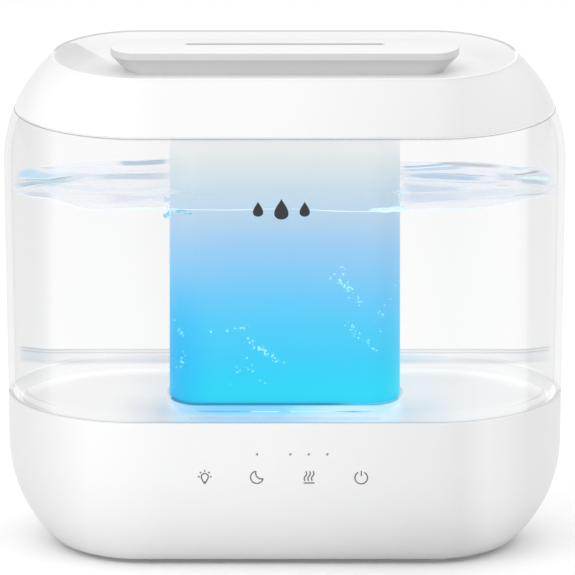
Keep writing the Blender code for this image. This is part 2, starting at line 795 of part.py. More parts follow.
def leads():
    """The inner leads, each from its part to the driver board, laid along the bottom of the base."""
    wire_r = 0.0008
    board_top = BOARD_Z + BOARD_T + wire_r + GAP
    face = DEPTH / 2 - case_inset(JACK_Z)
    routes = {
        "supply_lead": [
            (JACK_X, face - 0.0152, JACK_Z - 0.0012),
            (JACK_X + 0.001, face - 0.0190, JACK_Z - 0.0060),
            (0.0690, 0.0510, 0.0210),
            (0.0690, 0.0370, 0.0140),
            (0.0670, 0.0270, 0.0125),
            (0.0640, 0.0200, board_top),
        ],
        "fan_lead": [
            (FAN_AT[0] + FAN_SIDE / 2 + 0.0012, 0.0120, 0.0100),
            (0.0020, 0.0170, 0.0120),
            (0.0080, 0.0200, 0.0125),
            (0.0160, 0.0195, board_top + 0.0004),
            (0.0200, 0.0190, board_top),
        ],
        "transducer_lead": [
            (TRANSDUCER_AT[0] + 0.004, 0.0, 0.0277),
            (TRANSDUCER_AT[0] + 0.006, -0.001, 0.0225),
            (0.0340, -0.0020, 0.0185),
            (0.0400, -0.0010, 0.0140),
            (0.0420, 0.0, board_top),
        ],
    }
    for name, knots in routes.items():
        add(tube(name, smooth_route(knots, 4), wire_r), black())


# ---------------------------------------------------------------- tank
def tank_shell():
    """The clear vessel. Its floor is a plug that drops into the base, and its mouth a neck that rises into the lid."""
    plug = case_inset(SEAM_LOW) + TANK_STEP
    step_z = SEAM_LOW + SEAM_GAP / 2
    top = SEAM_HIGH - SEAM_GAP / 2
    walls = [step_z, 0.120, SHOULDER_Z, 0.180, 0.188, top]
    rings = [
        case_ring(plug + 0.0007, TANK_FLOOR_Z),
        case_ring(plug, TANK_FLOOR_Z + 0.0007),
        case_ring(plug, step_z),
        *[case_ring(case_inset(z), z) for z in walls],
        case_ring(NECK_INSET, top - LEDGE_DROP),
        case_ring(NECK_INSET, NECK_TOP),
    ]
    obj = shell(loft("tank_shell", rings, first_cap=True), TANK_WALL)
    through = (TANK_FLOOR_Z - 0.005, TANK_FLOOR_Z + 0.008)
    cut(obj, slab("duct_hole", DUCT_HALF, DUCT_END, through, inset=-FIT))
    cut(obj, cylinder("valve_hole", VALVE_HOLE_R, through, VALVE_AT, 24))
    return add(obj, clear())


def mist_duct():
    """The frosted channel that carries mist from the sump up through the tank to the lid."""
    obj = loft("mist_duct", [ring(DUCT_HALF, DUCT_END, z) for z in DUCT_Z])
    add(shell(obj, DUCT_WALL), frosted())
    seal_r = 0.0006
    seal_z = TANK_FLOOR_Z + TANK_WALL + seal_r + GAP
    path = ring(DUCT_HALF, DUCT_END, seal_z, -seal_r - GAP)
    add(tube("duct_seal", path, seal_r, cyclic=True, resolution=1), rubber())


def tank_valve():
    """The self-closing valve in the tank floor: body, plunger, washer and spring, shown pushed open."""
    floor_top = TANK_FLOOR_Z + TANK_WALL
    seat_r, bore_r, wall_r, flange_r = 0.0052, 0.0084, 0.0104, 0.0132
    seat_z = (TANK_FLOOR_Z + 0.0004, floor_top - 0.0001)
    flange_z = (floor_top + GAP, floor_top + GAP + 0.0020)
    top = 0.0840
    body = turned(
        "valve_body",
        [
            (wall_r, top),
            (wall_r, flange_z[1]),
            (flange_r, flange_z[1]),
            (flange_r, flange_z[0]),
            (wall_r, flange_z[0]),
            (wall_r, seat_z[0]),
            (seat_r, seat_z[0]),
            (seat_r, seat_z[1]),
            (bore_r, seat_z[1]),
            (bore_r, top),
        ],
        VALVE_AT,
        steps=24,
    )
    x, y = VALVE_AT
    reach = (bore_r + wall_r) / 2
    bridge = box("valve_bridge", (x - reach, x + reach), (y - 0.0030, y + 0.0030), (top - 0.0022, top - 0.0002))
    join(body, bridge)
    cut(body, cylinder("valve_guide", 0.0020, (top - 0.005, top + 0.005), VALVE_AT, 14))
    window_z = (0.0695, 0.0790)
    wide, far = 0.0035, 0.0150
    cut(body, box("window_x", (x - far, x + far), (y - wide, y + wide), window_z))
    cut(body, box("window_y", (x - wide, x + wide), (y - far, y + far), window_z))
    add(body, inner_white())

    stem_r, disc_r = 0.0016, 0.0074
    washer_z = seat_z[1] + GAP + VALVE_LIFT
    disc_z = washer_z + 0.0015 + GAP
    tip = seat_z[0] + VALVE_LIFT
    plunger = [
        (0.0, top + VALVE_LIFT + 0.0005),
        (stem_r, top + VALVE_LIFT + 0.0005),
        (stem_r, disc_z + 0.0015),
        (disc_r, disc_z + 0.0015),
        (disc_r, disc_z),
        (stem_r, disc_z),
        (stem_r, tip),
        (0.0, tip),
    ]
    add(turned("valve_plunger", plunger, VALVE_AT, 20), inner_white())
    washer = [
        (disc_r, washer_z + 0.0015),
        (disc_r, washer_z),
        (stem_r + GAP, washer_z),
        (stem_r + GAP, washer_z + 0.0015),
    ]
    add(turned("valve_washer", washer, VALVE_AT, 20), rubber())

    coils, per_turn, wire_r, mean_r = 4, 10, 0.0004, 0.0050
    low, high = disc_z + 0.0015 + wire_r + GAP, top - 0.0022 - wire_r - GAP
    helix = []
    for i in range(coils * per_turn + 1):
        angle = 2 * math.pi * i / per_turn
        height = low + (high - low) * i / (coils * per_turn)
        helix.append((x + mean_r * math.cos(angle), y + mean_r * math.sin(angle), height))
    add(tube("valve_spring", helix, wire_r, resolution=1), steel())
    post_top = tip - GAP
    post = [
        (0.0, post_top),
        (0.0019, post_top),
        (0.0025, post_top - 0.0010),
        (0.0025, 0.0400),
        (0.0050, 0.0356),
        (0.0050, SUMP_Z + GAP),
        (0.0, SUMP_Z + GAP),
    ]
    add(turned("valve_post", post, VALVE_AT, 16), inner_white())


# ---------------------------------------------------------------- lid
def lid_shell():
    """The white cover: shoulder, rim, and the sunk deck that leaves room for fingers round the nozzle."""
    low = SEAM_HIGH + SEAM_GAP / 2
    rim_z = SHOULDER_Z + math.sqrt(SHOULDER_R**2 - (SHOULDER_R - RIM_INSET) ** 2)
    steps = 6
    shoulder = [low + (rim_z - 0.0006 - low) * i / steps for i in range(steps + 1)]
    sunk = rim_z - DECK_Z
    dish = [(0.0006, 0.0), (0.0018, 0.04), (0.0030, 0.20), (0.0055, 0.66), (0.0090, 0.93), (0.0130, 1.0)]
    rings = [case_ring(case_inset(z), z) for z in shoulder]
    rings += [case_ring(RIM_INSET + inward, rim_z - sunk * share) for inward, share in dish]
    rings.append(ring(SPIGOT_HALF, SPIGOT_END, DECK_Z, -FIT))
    return add(shell(loft("lid_shell", rings), LID_WALL), white())


def lid_liner():
    """The inner plate of the lid: a skirt that plugs the tank mouth and a collar that enters the duct."""
    rings = [
        case_ring(LINER_EDGE, LINER_Z),
        ring(DUCT_HALF, DUCT_END, LINER_Z, COLLAR_INSET),
        ring(DUCT_HALF, DUCT_END, SKIRT_BOTTOM, COLLAR_INSET),
    ]
    obj = shell(loft("lid_liner", rings), LINER_WALL)
    skirt = loft("liner_skirt", [case_ring(SKIRT_INSET, z) for z in (SKIRT_BOTTOM, LINER_Z - LINER_WALL / 2)])
    join(obj, shell(skirt, LINER_WALL))
    for i, x in enumerate((-NOZZLE_SCREW_X, NOZZLE_SCREW_X)):
        cut(obj, cylinder(f"liner_hole_{i}", 0.0017, (LINER_Z - 0.006, LINER_Z + 0.003), (x, 0.0), 12))
    add(obj, inner_white())
    gasket = tube("lid_gasket", case_ring(GASKET_INSET, GASKET_Z), GASKET_R, cyclic=True, resolution=2)
    add(gasket, rubber())


def nozzle():
    """The raised bar that is both handle and mist outlet, hollow, with a slot in its top."""
    stem_low = DECK_Z + GAP
    stem_high = stem_low + 0.0013
    lip_low = NOZZLE_TOP - NOZZLE_LIP
    edge = 0.0006
    rings = [
        ring(SPIGOT_HALF, SPIGOT_END, SPIGOT_Z),
        ring(SPIGOT_HALF, SPIGOT_END, stem_low),
        ring(STEM_HALF, STEM_END, stem_low),
        ring(STEM_HALF, STEM_END, stem_high),
        ring(NOZZLE_HALF, NOZZLE_END, lip_low),
        ring(NOZZLE_HALF, NOZZLE_END, NOZZLE_TOP - edge),
        ring(NOZZLE_HALF, NOZZLE_END, NOZZLE_TOP, edge),
    ]
    obj = shell(loft("nozzle_bar", rings, last_cap=True), NOZZLE_WALL)
    cut(obj, box("mist_slot", (-SLOT_HALF_X, SLOT_HALF_X), SLOT_Y, (NOZZLE_TOP - 0.004, NOZZLE_TOP + 0.002)))
    for i, x in enumerate((-NOZZLE_SCREW_X, NOZZLE_SCREW_X)):
        join(obj, cylinder(f"nozzle_boss_{i}", 0.0030, (SPIGOT_Z + 0.0002, NOZZLE_TOP - 0.001), (x, 0.0), 14))
        cut(obj, cylinder(f"nozzle_pilot_{i}", 0.0016, (SPIGOT_Z - 0.001, 0.2165), (x, 0.0), 12))
        screw(f"nozzle_screw_{i + 1}", (x, 0.0), LINER_Z - LINER_WALL - 0.0019, 0.2155)
    add(obj, white())

    baffle_z = (LINER_Z + GAP, LINER_Z + GAP + 0.0012)
    baffle = slab("mist_baffle", (0.0560, 0.0245), 0.0140, baffle_z)
    slots, pitch = 7, 0.0125
    for i in range(slots):
        x = (i - (slots - 1) / 2) * pitch
        cut(baffle, box(f"baffle_slot_{i}", (x - 0.0030, x + 0.0030), (-0.0150, 0.0150), (0.204, 0.208)))
    add(baffle, inner_white())


# ---------------------------------------------------------------- moving groups
def moving_groups():
    """Empties that carry what moves: the tank lifts off the base, the lid off the tank, the float on its post."""
    axes = {"valve_group": VALVE_AT, "float_group": FLOAT_AT}
    groups = {
        "tank_group": ["tank_shell", "mist_duct", "duct_seal", "valve_body", "valve_spring"],
        "valve_group": ["valve_plunger", "valve_washer"],
        "lid_group": [
            "lid_shell",
            "lid_liner",
            "lid_gasket",
            "nozzle_bar",
            "mist_baffle",
            "nozzle_screw_1",
            "nozzle_screw_2",
        ],
        "float_group": ["float_body", "float_magnet"],
    }
    empties = {}
    for name in groups:
        empties[name] = bpy.data.objects.new(name, None)
        empties[name].location = (*axes.get(name, (0.0, 0.0)), 0.0)
        collection(PARTS).objects.link(empties[name])
    empties["valve_group"].parent = empties["tank_group"]
    empties["lid_group"].parent = empties["tank_group"]
    for name, members in groups.items():
        for member in members:
            bpy.data.objects[member].parent = empties[name]
            bpy.data.objects[member].matrix_parent_inverse = Matrix.Translation(-empties[name].location)


def main():
    clear_scene()
    base_shell()
    bottom_cover()
    feet()
    cover_screws()
    reservoir_tray()
    transducer()
    fan()
    air_tower()
    float_switch()
    main_board()
    control_panel()
    night_light()
    dc_jack()
    leads()
    tank_shell()
    mist_duct()
    tank_valve()
    lid_shell()
    lid_liner()
    nozzle()
    moving_groups()


main()
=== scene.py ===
"""Looks of the cool mist humidifier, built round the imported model.

Finer shells stand in for the casing, tank, lid, nozzle and duct. The water, its bubbles, the printed
keys and the glow of the night light are added, and every carried-over part gets a finished material.
Metres, +Z up, and the control panel faces -Y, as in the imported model.
"""

import json
import math
import random

import bmesh
import bpy
from mathutils import Matrix, Vector, noise


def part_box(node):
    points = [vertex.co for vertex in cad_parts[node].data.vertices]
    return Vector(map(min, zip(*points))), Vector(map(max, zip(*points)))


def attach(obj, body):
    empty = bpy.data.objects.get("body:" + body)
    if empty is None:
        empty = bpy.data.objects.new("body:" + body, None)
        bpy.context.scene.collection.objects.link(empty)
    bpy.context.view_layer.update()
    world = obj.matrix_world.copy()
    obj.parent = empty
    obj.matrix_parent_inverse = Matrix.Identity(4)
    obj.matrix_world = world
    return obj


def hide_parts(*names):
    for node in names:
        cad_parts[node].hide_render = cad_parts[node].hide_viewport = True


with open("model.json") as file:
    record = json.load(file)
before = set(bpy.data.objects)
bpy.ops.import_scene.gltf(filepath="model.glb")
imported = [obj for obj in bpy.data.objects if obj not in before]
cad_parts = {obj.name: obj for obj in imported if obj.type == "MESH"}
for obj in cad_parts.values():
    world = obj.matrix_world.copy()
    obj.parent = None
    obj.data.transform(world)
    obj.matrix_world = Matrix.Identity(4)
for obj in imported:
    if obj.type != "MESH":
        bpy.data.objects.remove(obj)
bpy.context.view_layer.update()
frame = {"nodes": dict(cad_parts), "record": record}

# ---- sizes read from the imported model
TANK_LOW, TANK_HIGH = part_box("tank_shell")
BASE_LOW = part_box("base_shell")[0]
RIM_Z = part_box("lid_shell")[1].z - 0.0006
BAR_LOW, BAR_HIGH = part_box("nozzle_bar")
DUCT_LOW, DUCT_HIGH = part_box("mist_duct")
HALF_WIDTH, HALF_DEPTH = TANK_HIGH.x, TANK_HIGH.y

# ---- the case's shape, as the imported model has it
CASE_END = 0.061
SIDE_LEAN = 0.0022
BASE_ARC_Z, BASE_ARC_R = 0.047, 0.059
SHOULDER_Z, SHOULDER_R = 0.172, 0.062
SEAM_LOW, SEAM_HIGH, SEAM_GAP = 0.068, 0.196, 0.0004
SEAM_TOP, SEAM_FOOT = SEAM_LOW + SEAM_GAP / 2, SEAM_LOW - SEAM_GAP / 2
FIT = 0.0004
BASE_WALL, TANK_WALL, LID_WALL, DUCT_WALL, BAR_WALL = 0.0025, 0.003, 0.0025, 0.0022, 0.0018
COVER_INSET, NECK_INSET = 0.0314, 0.0119
TANK_STEP, LEDGE_DROP = 0.0048, 0.0028
DECK_Z = 0.2125
DUCT_END, DUCT_GAP = 0.0125, 0.00008
VALVE_AT = (0.0, 0.050)
VALVE_HOLE_R, LAMP_HOLE_R, JACK_HOLE_R = 0.0108, 0.0006, 0.0048

# ---- the nozzle bar: half sizes and rounded ends of its plate, stem, spigot and slot
BAR_HALF, BAR_END, BAR_SHIFT = (BAR_HIGH.x, 0.0170), 0.0115, 0.0015
STEM_HALF, STEM_END = (0.0708, 0.0124), 0.009
SPIGOT_HALF, SPIGOT_END = (0.066, 0.0095), 0.008
SLOT_FRONT, SLOT_BACK = 0.0048, 0.0093
SLOT_HALF = (0.0445, (SLOT_BACK - SLOT_FRONT) / 2)
SLOT_AT = SLOT_BACK - SLOT_HALF[1] + 0.0006
BAR_UNDERSIDE, BAR_LIP = (0.2144, 0.2196), 0.0034

# ---- the view that the looks are matched in
VIEW_TILT = math.radians(11.2)

# ---- how finely the shells are drawn
ARC_STEPS, STRAIGHT_STEPS, WATER_STRAIGHT_STEPS, FILLET_STEPS = 34, 10, 56, 4
SHARP_ANGLE = 32.0


# ---- shape tools
def plan(half_width, half_depth, end, inset=0.0, centre=(0.0, 0.0), straight_steps=STRAIGHT_STEPS):
    """Plan points, anticlockwise: straight front and back, elliptical ends, drawn in along the normals."""
    straight = half_width - end
    points = []
    for side in (1, -1):
        for i in range(2 * ARC_STEPS + 1):
            angle = math.pi * (i / (2 * ARC_STEPS) - 0.5)
            x, y = end * math.cos(angle), half_depth * math.sin(angle)
            normal = Vector((math.cos(angle) / end, math.sin(angle) / half_depth)).normalized()
            x += straight - inset * normal.x
            y -= inset * normal.y
            points.append((centre[0] + side * x, centre[1] + side * y))
        last_x, last_y = points[-1]
        for i in range(1, straight_steps):
            points.append((last_x - side * 2 * straight * i / straight_steps, last_y))
    return points


def level(points, z):
    return [Vector((x, y, z)) for x, y in points]


def case_ring(inset, z, straight_steps=STRAIGHT_STEPS):
    return level(plan(HALF_WIDTH, HALF_DEPTH, CASE_END, inset, straight_steps=straight_steps), z)


def duct_ring(inset, z, straight_steps=STRAIGHT_STEPS):
    return level(plan(DUCT_HIGH.x, DUCT_HIGH.y, DUCT_END, inset, straight_steps=straight_steps), z)


def case_inset(z):
    """How far the outer skin of the case stands in from its widest outline at height z."""
    if z < BASE_ARC_Z:
        return SIDE_LEAN + BASE_ARC_R - math.sqrt(BASE_ARC_R**2 - (BASE_ARC_Z - z) ** 2)
    if z <= SHOULDER_Z:
        return SIDE_LEAN * (SHOULDER_Z - z) / (SHOULDER_Z - BASE_ARC_Z)
    return SHOULDER_R - math.sqrt(SHOULDER_R**2 - (z - SHOULDER_Z) ** 2)


def metres(sizes):
    """Sizes that a table gives in millimetres, in metres."""
    return [size / 1000 for size in sizes]


def span(low, high, steps):
    return [low + (high - low) * i / steps for i in range(steps + 1)]


def case_skin(heights, wall=0.0):
    """(inset, z) points of the case's skin, or of a surface that lies a wall's thickness inside it."""
    points = []
    for z in heights:
        if z < BASE_ARC_Z:
            lean = math.asin((BASE_ARC_Z - z) / BASE_ARC_R)
            across, down = math.cos(lean), -math.sin(lean)
        elif z <= SHOULDER_Z:
            across, down = 1.0, 0.0
        else:
            lean = math.asin((z - SHOULDER_Z) / SHOULDER_R)
            across, down = math.cos(lean), math.sin(lean)
        points.append((case_inset(z) + wall * across, z - wall * down))
    return points


def filleted(profile, radii):
    """A closed profile with the corners of the given indices rounded off."""
    count = len(profile)
    points = []
    for i, corner in enumerate(profile):
        radius = radii.get(i, radii.get(i - count, 0.0))
        if radius == 0.0:
            points.append(corner)
            continue
        corner = Vector(corner)
        before = Vector(profile[i - 1]) - corner
        after = Vector(profile[(i + 1) % count]) - corner
        start = corner + before.normalized() * min(radius, before.length * 0.48)
        end = corner + after.normalized() * min(radius, after.length * 0.48)
        for step in range(FILLET_STEPS + 1):
            t = step / FILLET_STEPS
            points.append(tuple(start * (1 - t) ** 2 + corner * 2 * t * (1 - t) + end * t**2))
    return points


def bridged(mesh, loops, closed=True):
    """Joins each loop of vertices to the next, and the last to the first, or else puts a cap on both ends."""
    for low, high in zip(loops, [*loops[1:], loops[0]] if closed else loops[1:]):
        for i in range(len(low)):
            mesh.faces.new((low[i - 1], low[i], high[i], high[i - 1]))
    if not closed:
        mesh.faces.new(loops[0][::-1])
        mesh.faces.new(loops[-1])


def sweep(name, rings):
    """A skin through rings of equal length and back to the first, up the outside and down the inside."""
    mesh = bmesh.new()
    bridged(mesh, [[mesh.verts.new(point) for point in points] for points in rings])
    return from_bmesh(name, mesh)


def from_bmesh(name, mesh, smooth_angle=SHARP_ANGLE):
    data = bpy.data.meshes.new(name)
    mesh.to_mesh(data)
    mesh.free()
    obj = bpy.data.objects.new(name, data)
    bpy.context.scene.collection.objects.link(obj)
    data.shade_smooth()
    data.set_sharp_from_angle(angle=math.radians(smooth_angle))
    return obj


def drilled(obj, *holes):
    """Cuts round holes, each given as (centre, axis, radius, length)."""
    for centre, axis, radius, length in holes:
        place = Matrix.Translation(centre) @ Vector(axis).to_track_quat("Z", "Y").to_matrix().to_4x4()
        size = {"segments": 32, "radius1": radius, "radius2": radius, "depth": length}
        cutter_mesh = bmesh.new()
        bmesh.ops.create_cone(cutter_mesh, cap_ends=True, matrix=place, **size)
        cutter = from_bmesh("cutter", cutter_mesh)
        modifier = obj.modifiers.new("hole", "BOOLEAN")
        modifier.object = cutter
        modifier.operation = "DIFFERENCE"
        bpy.context.view_layer.update()
        cut = bpy.data.meshes.new_from_object(obj.evaluated_get(bpy.context.evaluated_depsgraph_get()))
        obj.modifiers.clear()
        cut.name = obj.name
        obj.data = cut
        bpy.data.objects.remove(cutter)
    obj.data.set_sharp_from_angle(angle=math.radians(SHARP_ANGLE))
    return obj


def placed(obj, body, material, replaced=()):
    """Gives a finished piece its body, material slot and material, and hides the CAD nodes that it stands
    for.
    """
    obj.data.materials.clear()
    obj.data.materials.append(material)
    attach(obj, body)
    if replaced:
        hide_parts(*replaced)
    return obj


def painted_inside(obj, material, chosen):
    """Gives the faces for which chosen(face) holds a second material."""
    obj.data.materials.append(material)
    for face in obj.data.polygons:
        face.material_index = int(chosen(face))
    return obj


def faces_in(face):
    """Whether a face looks towards the upright middle of the case."""
    return face.normal.x * face.center.x + face.normal.y * face.center.y < -1e-7


def lets_light_in(obj):
    """Lets lamps and bounced light reach what is inside a clear piece. The camera still sees the piece."""
    obj.visible_shadow = False
    obj.visible_diffuse = False
    return obj


# ---- material tools
WHITE = (1.0, 1.0, 1.0)


class Shader:
    """A material's node tree, with short calls for adding and joining its nodes."""

    def __init__(self, name):
        self.material = bpy.data.materials.new(name)
        self.material.use_nodes = True
        self.tree = self.material.node_tree
        self.principled = self.tree.nodes["Principled BSDF"]
        self.output = self.tree.nodes["Material Output"]
        self.place = self.tree.nodes.new("ShaderNodeTexCoord").outputs["Object"]

    def add(self, kind, inputs=None, **settings):
        node = self.tree.nodes.new("ShaderNode" + kind)
        for key, value in settings.items():
            setattr(node, key, value)
        for key, value in (inputs or {}).items():
            self.put(node.inputs[key], value)
        return node

    def put(self, socket, value):
        if isinstance(value, bpy.types.NodeSocket):
            self.tree.links.new(value, socket)
        elif isinstance(value, tuple) and len(value) == 3 and socket.type == "RGBA":
            socket.default_value = (*value, 1.0)
        else:
            socket.default_value = value

    def set(self, **values):
        for key, value in values.items():
            self.put(self.principled.inputs[key.replace("_", " ")], value)

    def axis(self, name):
        parts = self.add("SeparateXYZ", {0: self.place})
        return parts.outputs[name]

    def maths(self, operation, a, b=0.0):
        return self.add("Math", {0: a, 1: b}, operation=operation).outputs[0]

    def times(self, *values):
        product = values[0]
        for value in values[1:]:
            product = self.maths("MULTIPLY", product, value)
        return product

    def plus(self, a, b):
        return self.maths("ADD", a, b)

    def minus(self, a, b):
        return self.maths("SUBTRACT", a, b)

    def absolute(self, value):
        return self.maths("ABSOLUTE", value)

    def ranged(self, value, low, high, out_low=0.0, out_high=1.0, smooth=True):
        inputs = {"Value": value, "From Min": low, "From Max": high, "To Min": out_low, "To Max": out_high}
        kind = "SMOOTHSTEP" if smooth else "LINEAR"
        return self.add("MapRange", inputs, interpolation_type=kind).outputs["Result"]

    def window(self, value, low, high, low_fade, high_fade):
        """1 between low and high and 0 outside them, with soft edges of the given widths inside."""
        return self.times(self.ranged(value, low, low + low_fade), self.ranged(value, high, high - high_fade))

    def noise(self, scale, detail=2.0, stretch=(1.0, 1.0, 1.0), distortion=0.0):
        vector = self.add("Mapping", {"Vector": self.place, "Scale": stretch}).outputs[0]
        inputs = {"Vector": vector, "Scale": scale, "Detail": detail, "Distortion": distortion}
        return self.add("TexNoise", inputs).outputs["Fac"]

    def mix(self, factor, a, b):
        node = self.add("Mix", data_type="RGBA")
        for key, value in ((0, factor), (6, a), (7, b)):
            self.put(node.inputs[key], value)
        return node.outputs[2]

    def tinted(self, a, b):
        """Two colours multiplied."""
        return self.add("VectorMath", {0: a, 1: b}, operation="MULTIPLY").outputs[0]

    def drift(self, colour, share=0.99, scale=14.0, detail=2.0):
        """The colour, going slowly down to a share of itself and back."""
        return self.mix(self.noise(scale, detail), tuple(c * share for c in colour), colour)

    def worn(self, roughness):
        """The roughness, a little uneven."""
        return self.ranged(self.noise(60.0, 2.0), 0.3, 0.7, roughness * 0.95, roughness * 1.05)

    def ramp(self, value, stops):
        """A colour ramp from (position, colour) stops."""
        node = self.add("ValToRGB", {"Fac": value})
        elements = node.color_ramp.elements
        while len(elements) < len(stops):
            elements.new(0.5)
        for element, (position, colour) in zip(elements, stops):
            element.position = position
            element.color = (*colour, 1.0)
        return node.outputs["Color"]

    def bump(self, height, distance):
        node = self.add("Bump", {"Height": height, "Distance": distance, "Strength": 1.0})
        self.put(self.principled.inputs["Normal"], node.outputs[0])

    def grained(self, scale=900.0, depth=0.000004):
        """Adds a fine grain. It is the last step, and gives the finished material."""
        self.bump(self.noise(scale, 2.0), depth)
        return self.material

    def see_through(self, share, tint, skin=None):
        """Makes it clear but for a share of the skin, or else of the plastic. Gives the finished material."""
        clear = self.add("BsdfTransparent", {"Color": tint}).outputs[0]
        over = {0: share, 1: clear, 2: skin or self.principled.outputs[0]}
        self.tree.links.new(self.add("MixShader", over).outputs[0], self.output.inputs["Surface"])
        return self.material

    def gloss(self, roughness):
        return self.add("BsdfGlossy", {"Color": WHITE, "Roughness": roughness}).outputs[0]

    def facing(self):
        return self.add("LayerWeight", {"Blend": 0.5}).outputs["Facing"]

    def facing_up(self):
        """How far the surface faces up, from -1 to 1."""
        normal = self.add("NewGeometry").outputs["Normal"]
        return self.add("SeparateXYZ", {0: normal}).outputs["Z"]

    def near_side(self):
        """1 where the surface's outer side is seen, and 0 where its back is."""
        return self.minus(1.0, self.add("NewGeometry").outputs["Backfacing"])

    def sheen(self, straight_on, grazing):
        """The share of light a clear skin mirrors, on its outer side and its upright faces only."""
        upright = self.ranged(self.absolute(self.facing_up()), 0.9, 0.6)
        share = self.plus(self.times(self.maths("POWER", self.facing(), 4.0), grazing), straight_on)
        return self.times(share, self.times(self.near_side(), upright))

    def streak(self, x, y, start, end, half_width):
        """1 along a straight streak from start to end in plan, fading out at its sides and ends."""
        along = self.ranged(x, start[0], end[0], start[1], end[1], smooth=False)
        away = self.absolute(self.minus(y, along))
        length = end[0] - start[0]
        inside = self.window(x, start[0] - 0.1 * length, end[0] + 0.1 * length, 0.3 * length, 0.3 * length)
        return self.times(inside, self.ranged(away, half_width, half_width * 0.35))

    def seen_height(self, y, z):
        """How high a point looks from the front, at the view's tilt."""
        return self.plus(self.times(z, math.cos(VIEW_TILT)), self.times(y, math.sin(VIEW_TILT)))

    def spread(self, value, stops, linear=False):
        """A ramp from stops: a place in millimetres, and a colour as a screen shows it or shares of light."""
        stops = [(place / 1000, colour if len(colour) == 3 else colour * 3) for place, *colour in stops]
        low, high = stops[0][0], stops[-1][0]
        share = self.ranged(value, low, high, smooth=False)
        return self.ramp(share, [((v - low) / (high - low), c if linear else display(*c)) for v, c in stops])


def display(red, green, blue):
    """A colour given as a screen shows it, 0 to 255, in the scene's linear light."""
    return tuple(
        c / 255 / 12.92 if c <= 10 else ((c / 255 + 0.055) / 1.055) ** 2.4 for c in (red, green, blue)
    )


def moulded(name, colour, roughness, grain=0.000004, grain_scale=900.0, tone=0.01):
    """Moulded plastic or rubber: a fine grain, and a slow change of tone and gloss over the surface."""
    look = Shader(name)
    look.set(Base_Color=look.drift(colour, 1 - tone, detail=3.0), Roughness=look.worn(roughness))
    return look.grained(grain_scale, grain)


# ---- materials
CASING_PAINTED_LIGHT = (
    # painted light and shade on the white casing: x in millimetres, and how much light is painted there on
    # the base, and on the lid
    (-125, 0.94, 1), (-118, 0.915, 1.03), (-108, 0.95, 1.055), (-98, 1, 1.05), (-87, 1.055, 1.035),
    (-66, 1.05, 1.02), (-50, 1.03, 0.995), (0, 1.02, 1.015), (30, 0.995, 0.995), (56, 0.965, 0.965),
    (78, 0.955, 0.955), (90, 1.08, 1.01), (98, 1.07, 1.05), (108, 1, 1.065), (125, 0.98, 1.06),
)


def white_casing(lightness, roughness):
    """The casings' white plastic, with painted light and shade along the front, and painted shade towards the
    foot and at the lower right.
    """
    look = Shader("white_casing")
    x, z = look.axis("X"), look.axis("Z")
    lightest = 1.1
    # Painted light and shade along the front, for the base and for the lid.
    painted_tones = [(at, base / lightest, lid / lightest, 0.0) for at, base, lid in CASING_PAINTED_LIGHT]
    parts = look.add("SeparateXYZ", {0: look.spread(x, painted_tones, linear=True)}).outputs
    upper = look.ranged(z, 0.10, 0.18)
    along = look.add("Mix", {0: upper, 2: parts["X"], 3: parts["Y"]}).outputs[0]
    # Painted shade towards the foot, deeper at the lower right.
    right = look.ranged(x, 0.0, 0.09, 0.0, 0.06)
    low = look.ranged(z, 0.034, 0.010)
    shade = look.minus(look.ranged(z, 0.004, 0.030, 0.96, 1.0), look.times(right, low))
    uneven = look.ranged(look.noise(14.0, 3.0), 0.0, 1.0, lightness * 0.996, lightness)
    tone = look.times(along, lightest, shade, uneven)
    grey = look.add("CombineColor", {0: tone, 1: tone, 2: tone}).outputs[0]
    look.set(Base_Color=grey, Roughness=look.worn(roughness))
    return look.grained()


def bar_plastic(top_colour, lip_shade, under_shade, roughness):
    """The nozzle bar's plastic: white on top, with painted shade darker on its lip and grey underneath,
    chosen by which way each face looks.
    """
    look = Shader("bar_plastic")
    up = look.facing_up()
    # Painted light on the underside, lighter towards its foot against the shade there.
    slope = look.ranged(look.axis("Z"), *BAR_UNDERSIDE, 1.07, 0.84, smooth=False)
    under_shade = look.add("VectorMath", {0: under_shade, 3: slope}, operation="SCALE").outputs[0]
    # Painted shade: upright faces take the lip's shade, and faces that look down take the underside's.
    side = look.mix(look.ranged(up, -0.15, -0.35), lip_shade, under_shade)
    colour = look.mix(look.ranged(up, 0.35, 0.9), side, top_colour)
    look.set(Base_Color=colour, Roughness=look.worn(roughness))
    return look.grained()


def recess_plastic(colour, roughness):
    """The lid's recess, with painted light and shade: a soft shade left of the nozzle bar, a dark far rim, a
    highlight on the near rim and a faint glow elsewhere.
    """
    look = Shader("recess_plastic")
    x, y, z = look.axis("X"), look.axis("Y"), look.axis("Z")
    # The shade's upper edge slopes down to the right, as seen from the front.
    edge = look.ranged(x, -0.0933, -0.0702, 0.2212, 0.2083, smooth=False)
    below = look.minus(edge, look.seen_height(y, z))
    shade = look.times(look.ranged(below, 0.0, 0.0008), look.ranged(below, 0.012, 0.001, 0.35, 1.0))
    shade = look.times(shade, look.ranged(x, -0.0680, -0.0960, 0.0, 1.0))
    # Painted shade: a dark line along the far rim.
    rim = look.ranged(z, RIM_Z - 0.0006, RIM_Z - 0.0004)
    far_rim_shade = look.times(rim, look.ranged(y, 0.005, 0.015))
    tone = look.mix(shade, colour, tuple(c * 0.83 for c in colour))
    tone = look.mix(far_rim_shade, tone, tuple(c * 0.72 for c in colour))
    # Painted light: a faint glow outside the shade, and a highlight on the near rim.
    lift = look.times(look.minus(1.0, shade), look.minus(1.0, rim))
    lift = look.maths("MAXIMUM", look.times(lift, 0.045), look.times(rim, 0.20))
    lift = look.times(lift, look.minus(1.0, far_rim_shade))
    look.set(Base_Color=tone, Roughness=look.worn(roughness), Emission_Color=WHITE, Emission_Strength=lift)
    return look.grained()


